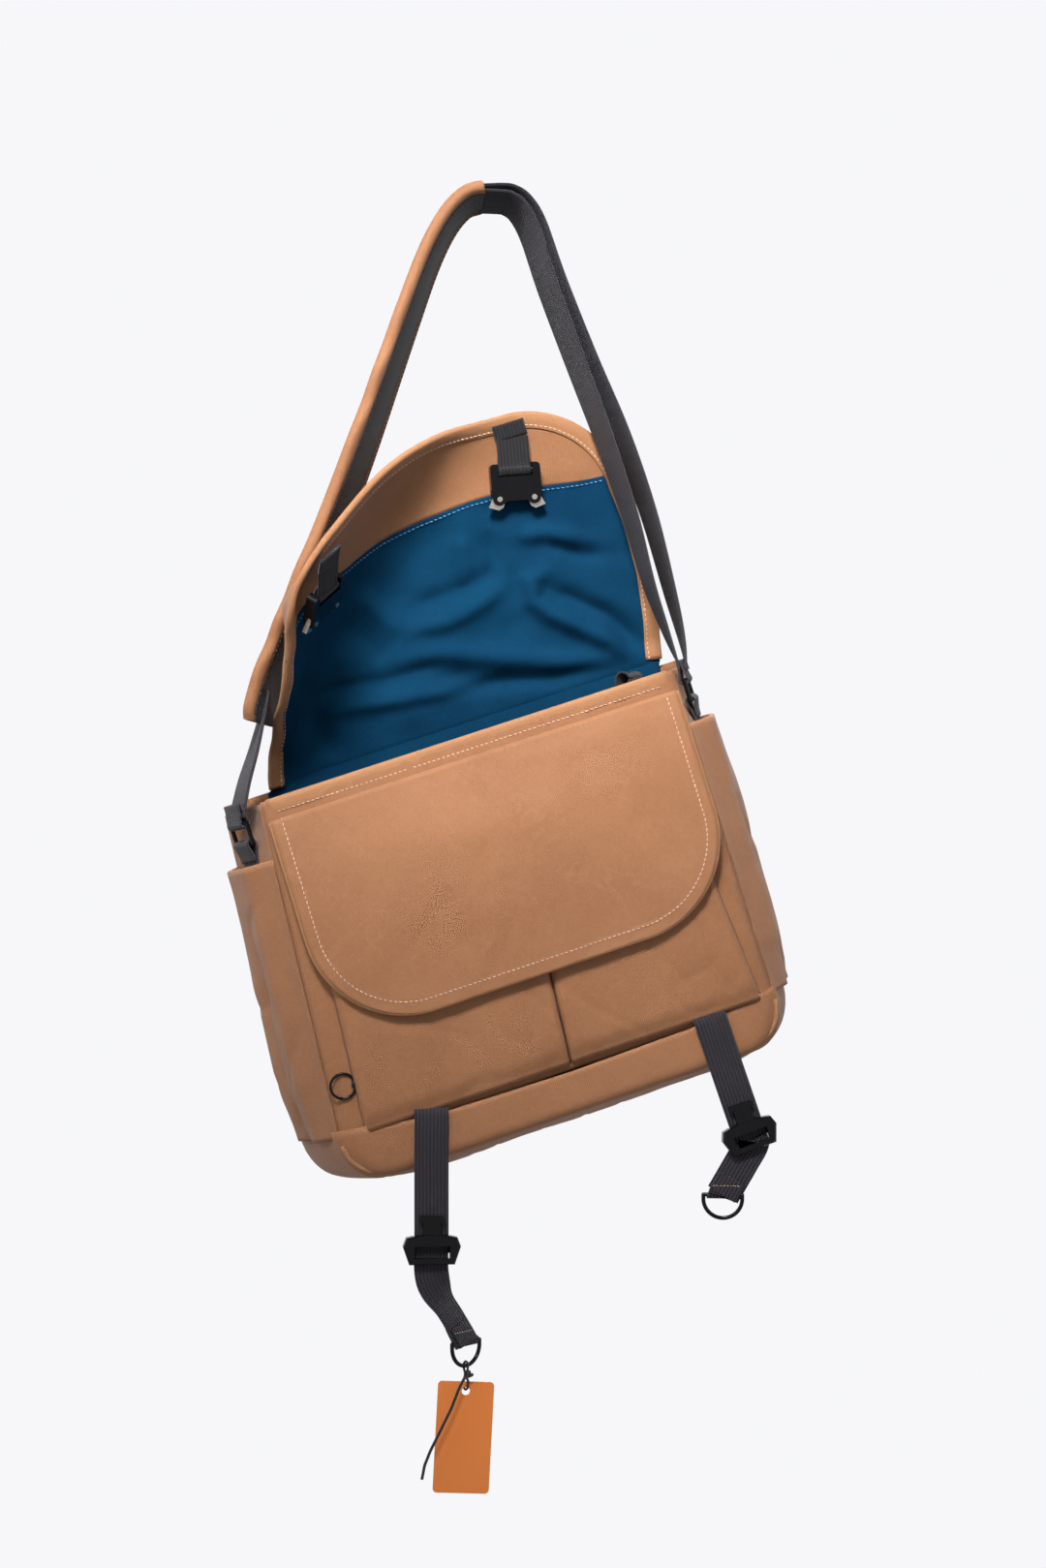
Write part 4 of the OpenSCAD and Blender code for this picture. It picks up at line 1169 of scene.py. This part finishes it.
def make_flap():
    seam = [(x, seam_height(x)) for x in [across_flap(FOLD_H, u) for u in fractions(COLUMNS)]]
    make_flap_sheets(seam)
    heights = [*spread(2, FOLD_H, 40), FOLD_H + 1.5]
    left = [(-half_left(h), h) for h in heights]
    right = [(half_right(h), h) for h in reversed(heights)]
    flap_sweep("flap_front_binding", flap_outline(start=FOLD_H - 1.5), EDGE_PROFILE, FRONT_BODIES, BINDING)
    flap_sweep("flap_left_binding", left, EDGE_PROFILE, TOP_BODIES, BINDING)
    flap_sweep("flap_right_binding", right, EDGE_PROFILE, TOP_BODIES, BINDING)
    flap_stitches("flap_front_stitches", flap_outline(STITCH_IN), 2.1, FRONT_BODIES, PINK_THREAD)
    flap_stitches("flap_left_stitches", [(x + STITCH_IN, h) for x, h in left], 2.1, TOP_BODIES, PINK_THREAD)
    flap_stitches("flap_right_stitches", [(x - STITCH_IN, h) for x, h in right], 2.1, TOP_BODIES, PINK_THREAD)
    line = [(x, h - 2.6) for x, h in seam[6:-6]]
    flap_stitches("lining_edge_stitches", line, 1.3, FRONT_BODIES, BLUE_THREAD)
    # Folded edge of the lining, a little proud of the facing
    flap_sweep("lining_edge", seam, LINING_EDGE_PROFILE, FRONT_BODIES, TEAL)


def hinge_rows(off):
    """Cloth that joins the bag's back to the flap, so that nothing opens at the hinge."""
    columns = fractions(COLUMNS)
    xs = [lerp(-FLAP_HALF + 12, FLAP_HALF + 6, u) for u in columns]
    rows = [[BAG.at(x, BACK_Y - 3 + off, z) for x in xs] for z in (-12, -8, -4, 0, 4)]
    for h in (0.6, 1.6, 3, 5, 8):
        depth = lerp(off, 0.3, smooth((h - 0.6) / 4))
        rows.append([flap_mid(across_flap(h, u, 0.5), h, depth) for u in columns])
    return rows


def make_hinge(name, mat, rows):
    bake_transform(cloth(name, rows, None, mat, 0.3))


make_flap()
make_hinge("flap_hinge_outer", CANVAS, hinge_rows(OUTER_OFF))
make_hinge("flap_hinge_blue", TEAL, facing_in(hinge_rows(-0.42)))


# ---- shoulder strap ----

# Middle lines of the padded leg and of the webbing, in mm in the world's frame, as in the CAD model
PAD_ROUTE = [(-9, 4.2), (-22, 0), (-36, -16), (-50, -44), (-66, -88), (-82, -134), (-96, -174), (-110, -212),
             (-126, -254), (-141, -292), (-154, -326), (-165, -356), (-172, -380), (-174, -388)]
LEFT_ROUTE = [(-168, -364), (-173, -384), (-179, -408), (-186, -432), (-191, -456)]
INNER_ROUTE = [(-10, 1.3), (4, 1.1), (10, 0), (18, -6), (27, -23), (40, -62), (61, -118), (83, -176),
               (102, -232), (116, -282), (130, -321), (140, -346)]
OUTER_ROUTE = [(-10, 5.2), (4, 6), (12, 5), (21, -1), (31, -17), (46, -58), (70, -116), (95, -172),
               (116, -230), (132, -288), (141, -323), (145, -346)]
PAD_W = 52
SIDE_TURN = math.degrees(math.atan(SPLAY / DEPTH))
DEPTH_WAY = Vector((0, 1, 0))


def strap_frame(route, twist0, twist1, steps=6, ease=1.0):
    """Path, width directions and face normals of a strap. The normals point to its inner face."""
    path = catmull([Vector((x, 0, z)) * MM for x, z in route], steps)
    across, normals = [], []
    for t, share in zip(tangents(path), fractions(len(path) - 1)):
        twist = math.radians(lerp(twist0, twist1, share ** ease))
        side = DEPTH_WAY * math.cos(twist) - DEPTH_WAY.cross(t) * math.sin(twist)
        across.append(side)
        normals.append(t.cross(side))
    return path, across, normals


def pad_profile(w, pucker):
    """Half a width of w: a padded face outwards, and a rim round the mesh on the inner face."""
    right = [(w - 7, 4.4), (w - 2.5, 5.4), (w + 0.8, 3.2), (w + 1.6, 0), (w + 0.6, -3.2), (w - 3, -5.2),
             (w - 9, -5.6)]
    foot = [(0, -5.4 - 0.4 * pucker), (-w + 9, -5.4 - 0.5 * pucker), (-w + 3, -5.2)]
    left = [(-w - 0.6 - pucker, -3.0), (-w - 1.4 - pucker, 0), (-w - 0.8 - pucker, 3.2), (-w + 2.5, 5.2)]
    return right + foot + left + [(-w + 7, 4.4), (-w + 7.5, 2.6), (0, 2.4), (w - 7.5, 2.6)]


def make_pad():
    rows, inner = [], []
    frames = list(zip(*strap_frame(PAD_ROUTE, 10, 34)))
    for t, (p, a, m) in zip(fractions(len(frames) - 1), frames):
        taper = smooth(t / 0.02 + 0.55) * smooth((1 - t) / 0.02 + 0.5)
        pucker = 1.9 * math.sin(t * 52 + 2.0 * math.sin(t * 17)) * smooth((t - 0.2) / 0.2)
        w = PAD_W / 2 * (0.92 + 0.08 * taper) * (1 - 0.24 * smooth((t - 0.9) / 0.1))
        high = 0.55 + 0.45 * taper
        rows.append([p + (a * u + m * v * high) * MM for u, v in pad_profile(w, pucker)])
        inner.append((p, a, m, w))
    piece = link(mesh_from_rows("pad_cover_cloth", rows, closed=True, cap=True), "pad_cover_cloth")
    finish_piece(piece, "strap", CANVAS, ["pad_cover", "pad_foam"])
    piece.modifiers.new("Smooth", "SUBSURF").render_levels = 1
    inner = inner[1:-1]
    rows = [[p + (a * lerp(-w + 5, w - 5, u) + m * (3.0 + 1.1 * arch(u))) * MM for u in fractions(10)]
            for p, a, m, w in inner]
    cloth("pad_mesh_cloth", rows, "strap", MESH, 1.0, ["pad_mesh"])
    for sign, edge in ((-1, "front"), (1, "rear")):
        line = [p + (a * sign * (w - 5.6) + m * 5.0) * MM for p, a, m, w in inner]
        faces = [m for _, _, m, _ in inner]
        stitches("pad_stitches_" + edge, line, faces, "strap", BLACK_CORD, "charcoal_webbing")


def make_strap_webs():
    for side, route, start, end, ease in (("left", LEFT_ROUTE, 4, -SIDE_TURN, 0.6),
                                          ("inner", INNER_ROUTE, -16, SIDE_TURN, 4),
                                          ("outer", OUTER_ROUTE, -16, SIDE_TURN, 4)):
        path, across, _ = strap_frame(route, start, end, 8, ease)
        ribbon(side + "_web_cloth", path, across, STRAP_W, "strap", nodes=["strap_web_" + side])


LOOP_Z = -18
LOOP_GAP = 8
LOOP_OUT = 4.6
SLEEVE_R = 3.2


def at_side(s):
    """Frame of the strap's metal loop on side s, turned with the bag's side and just clear of its wall."""
    x = front_x(s, LOOP_Z - LOOP_GAP) + s * (SPLAY / 2 + LOOP_OUT)
    return Place(BAG.at(x), turned(BAG.x, BAG.z, -s * SIDE_TURN), BAG.z)


def loop_sleeve(name, place, bar_z, tail, nodes=()):
    """Webbing that goes round a bar and back on itself, with its tails up or down."""
    turn = arc(0, bar_z, SLEEVE_R, 0, -math.copysign(180, tail), 12)
    near, far = bar_z + tail * 0.6, bar_z + tail
    path = [(1.2, far), (1.4, near), *turn, (-1.4, near), (-1.2, far)]
    run = catmull([place.at(x, 0, z) for x, z in path], 2)
    ribbon(name, run, place.y, STRAP_W, "strap", nodes=nodes, thick=1.8)


def make_anchors():
    for s, side in SIDES:
        place = at_side(s)
        loop_sleeve(side + "_upper_sleeve", place, LOOP_Z + LOOP_GAP, 15, ["anchor_loops"] if s < 0 else ())
        loop_sleeve(side + "_lower_sleeve", place, LOOP_Z - LOOP_GAP, -13)
        path = [place.at(s * (0.5 * t - 0.5), 0, lerp(-38, -84, t)) for t in fractions(12)]
        ribbon(side + "_anchor_web", path, place.y, STRAP_W, "bag", nodes=[side + "_anchor"], thick=2.6)


make_pad()
make_strap_webs()
make_anchors()


# ---- buckle webbing ----

BAR_Z = -24
TAB_ROUTE = [(1.2, 1), (0.4, -5), (-0.4, -13), (-1.0, -21), (-3.0, BAR_Z + 1), (-2.2, BAR_Z - 2.6),
             (0.4, BAR_Z - 3.4), (2.6, BAR_Z - 1.6), (2.6, BAR_Z + 3), (1.4, BAR_Z + 10)]
DROP_ROOT = [(6, 3), (2.5, 2.5), (-0.8, -1), (-1.2, -8), (0, -30), (0, -62), (0, -92)]
FOLD_R = 2.4


def make_tabs():
    """Each female buckle's tab, which goes round the buckle's bar, and its root on the flap."""
    for side, body in (("right", "flap_front"), ("left", "wing_front")):
        origin, x = joint_at(side + "_buckle_swing"), -joint_axis(side + "_buckle_swing")
        up = x.cross(FLAP.y) if side == "right" else turned(FLAP.z, CREASE, WING_FOLD)
        place = Place(origin, x, up)
        root_place = Place(origin, FLAP.x, FLAP.z) if side == "right" else place
        root = [root_place.at(0, 1.2, z) for z in spread(12, 0, 6)]
        ribbon(side + "_root_web", root, root_place.x, WEB_W, body, TAB_WEB, [side + "_tab_root"])
        run = catmull([place.at(0, y, z) for y, z in TAB_ROUTE], 5)
        ribbon(side + "_tab_web", run, place.x, WEB_W - 0.6, side + "_female", TAB_WEB, [side + "_tab"], 1.7)


def drop_place(side):
    """Frame of a drop strap: origin at its hinge in the base seam, Z up the webbing."""
    hinge = side + "_drop_swing"
    return Place(joint_at(hinge), -joint_axis(hinge), joint_axis(side + "_buckle_slide"))


def make_drop_end(side, tip, run, end):
    """Webbing turned round the ring's bar and sewn to itself. run goes down the strap and end across it."""
    out = run.cross(end).normalized()

    def near(outwards, down):
        return tip + (out * outwards + run * down) * MM

    wrap = [near(u, v) for u, v in arc(0, 0, FOLD_R, 0, 180, 8)]
    path = catmull([near(2.0, -14), near(FOLD_R, -6), *wrap, near(-FOLD_R, -6), near(-2.0, -16)], 4)
    ribbon(side + "_drop_fold", path, end, WEB_W - 3.5, side + "_drop", thick=1.5)
    for sign, face, mat in ((-1, "a", BLACK_CORD), (1, "b", PINK_THREAD)):
        line = [near(3.3 * sign, -7.5) + end * u * MM for u in (-10, -5, 0, 5, 10)]
        stitches(f"{side}_drop_stitches_{face}", line, out * sign, side + "_drop", mat, "charcoal_webbing",
                 pitch=2.6, length=1.9, radius=0.25)


def make_drops():
    """Each drop strap hangs straight for a length, and then turns and leans towards its ring."""
    for side, straight, twist, lean, sway in (("left", 116, 44, 0, 0.12), ("right", 98, -12, 19, 0.0)):
        place = drop_place(side)
        ring = (joint_at(side + "_ring_swing") - place.origin) / MM
        foot = Vector((ring.dot(place.x), ring.dot(place.y), ring.dot(place.z)))
        bend = Vector((0, 0, -straight))
        span = foot - bend
        side_sway = Vector((-span.x * sway, 0, 0))
        stops = [Vector((0, y, z)) for y, z in DROP_ROOT]
        stops += [bend, bend + span * 0.3 + side_sway, bend + span * 0.66 + side_sway / 4, foot]
        path = catmull([place.at(*p) for p in stops], 7)
        total = lengths(path)
        bend_at = total[7 * len(DROP_ROOT)]
        across = []
        for d in total:
            t = smooth(2 * (d - bend_at) / (total[-1] - bend_at))
            a, b = math.radians(twist * t), math.radians(lean * t)
            across.append(place.dir(math.cos(b) * math.cos(a), math.cos(b) * math.sin(a), -math.sin(b)))
        ribbon(side + "_drop_cloth", path, across, WEB_W, side + "_drop", nodes=[side + "_drop_web"])
        make_drop_end(side, path[-1], (path[-1] - path[-4]).normalized(), across[-1])


def make_stubs():
    """The webbing's ends in the base seam."""
    for s, side in SIDES:
        place = drop_place(side)
        path = catmull([place.at(0, y, z) for y, z in ((8, 4.5), (5, 3.8), (2, 2.6), (0.5, 1.0))], 4)
        ribbon(side + "_stub_web", path, place.x, WEB_W + 0.6, "bag", nodes=["drop_anchors"] if s < 0 else ())


def make_key_ring_tab():
    """The tab that holds the key ring. Its stops are y in mm, and z as a share of half its height."""
    low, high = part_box("key_ring_tab")
    middle, half = (low + high) / 2, (high.z - low.z) / 2
    width = max((high.x - low.x) / MM, 6) * 0.8
    stops = ((0.6, 1), (-0.8, 0.3), (-1.6, -0.5), (0.4, -1), (1.6, -0.3), (1.4, 0.8))
    path = catmull([middle + Vector((0, y * MM, share * half)) for y, share in stops], 5)
    ribbon("key_ring_tab_web", path, BAG.x, width, "bag", nodes=["key_ring_tab"], thick=0.9)


make_tabs()
make_drops()
make_stubs()
make_key_ring_tab()


# ---- tag loop and knot ----

HOLE_BELOW_EDGE = 5.5
LOOP_TWIST = 130
KNOT_AT = (2, -2.8, -6)


def make_tag_loop():
    top = joint_at("tag_swing")
    across = turned((1, 0, 0), (0, 0, 1), LOOP_TWIST)
    drop = (top.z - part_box("tag_card")[1].z) / MM + HOLE_BELOW_EDGE
    outline = [(0, 3.0), (1.9, 1.6), (2.0, -2), (0.8, -6), (2.2, -10), (3.0, -drop + 5), (2.2, -drop + 0.5),
               (0.4, -drop - 1.2), (-2.0, -drop + 0.5), (-2.4, -drop + 5), (-1.6, -10), (-0.8, -6),
               (-2.0, -2), (-1.9, 1.6), (0, 3.0)]
    stops = [top + (across * x + Vector((0, -0.6 if x > 0 else 0.6, z))) * MM for x, z in outline]
    thread_tube("tag_loop_cord", catmull(stops, 4)[:-1], 1.8, ["tag_loop"], closed=True)


def make_tag_knot():
    """Three turns round a knot that lean as they go."""
    knot = joint_at("tag_swing") + Vector(KNOT_AT) * MM
    turns = []
    for k in range(60):
        a, b = math.tau * k / 20, math.tau * k / 60
        spot = (2.1 * math.cos(a) * math.cos(b) + 0.6, 1.9 * math.sin(a), 2.2 * math.cos(a + 1) * math.sin(b))
        turns.append(knot + Vector(spot) * MM)
    thread_tube("tag_knot", turns, 1.6, closed=True)


make_tag_loop()
make_tag_knot()


# ---- materials of the CAD pieces that stay ----

def repaint(names, mat, bevel=0.0):
    for name in names:
        piece = frame["nodes"][name]
        piece.data.materials.clear()
        piece.data.materials.append(mat)
        if bevel:
            edge = piece.modifiers.new("Soft edges", "BEVEL")
            edge.width = bevel * MM
            edge.segments = 2
            edge.limit_method = "ANGLE"
            edge.angle_limit = math.radians(35)


repaint(["right_female_body", "left_female_body", "left_male_buckle", "right_male_buckle"], BLACK, 0.6)
repaint(["left_ring", "right_ring", "left_loop", "right_loop", "key_ring"], BLACK)
repaint(["right_latch_inner", "right_latch_outer", "left_latch_inner", "left_latch_outer"], SILVER, 0.4)
repaint(["right_rivets", "left_rivets"], SILVER, 0.3)
repaint(["tag_card"], CARD, 0.15)
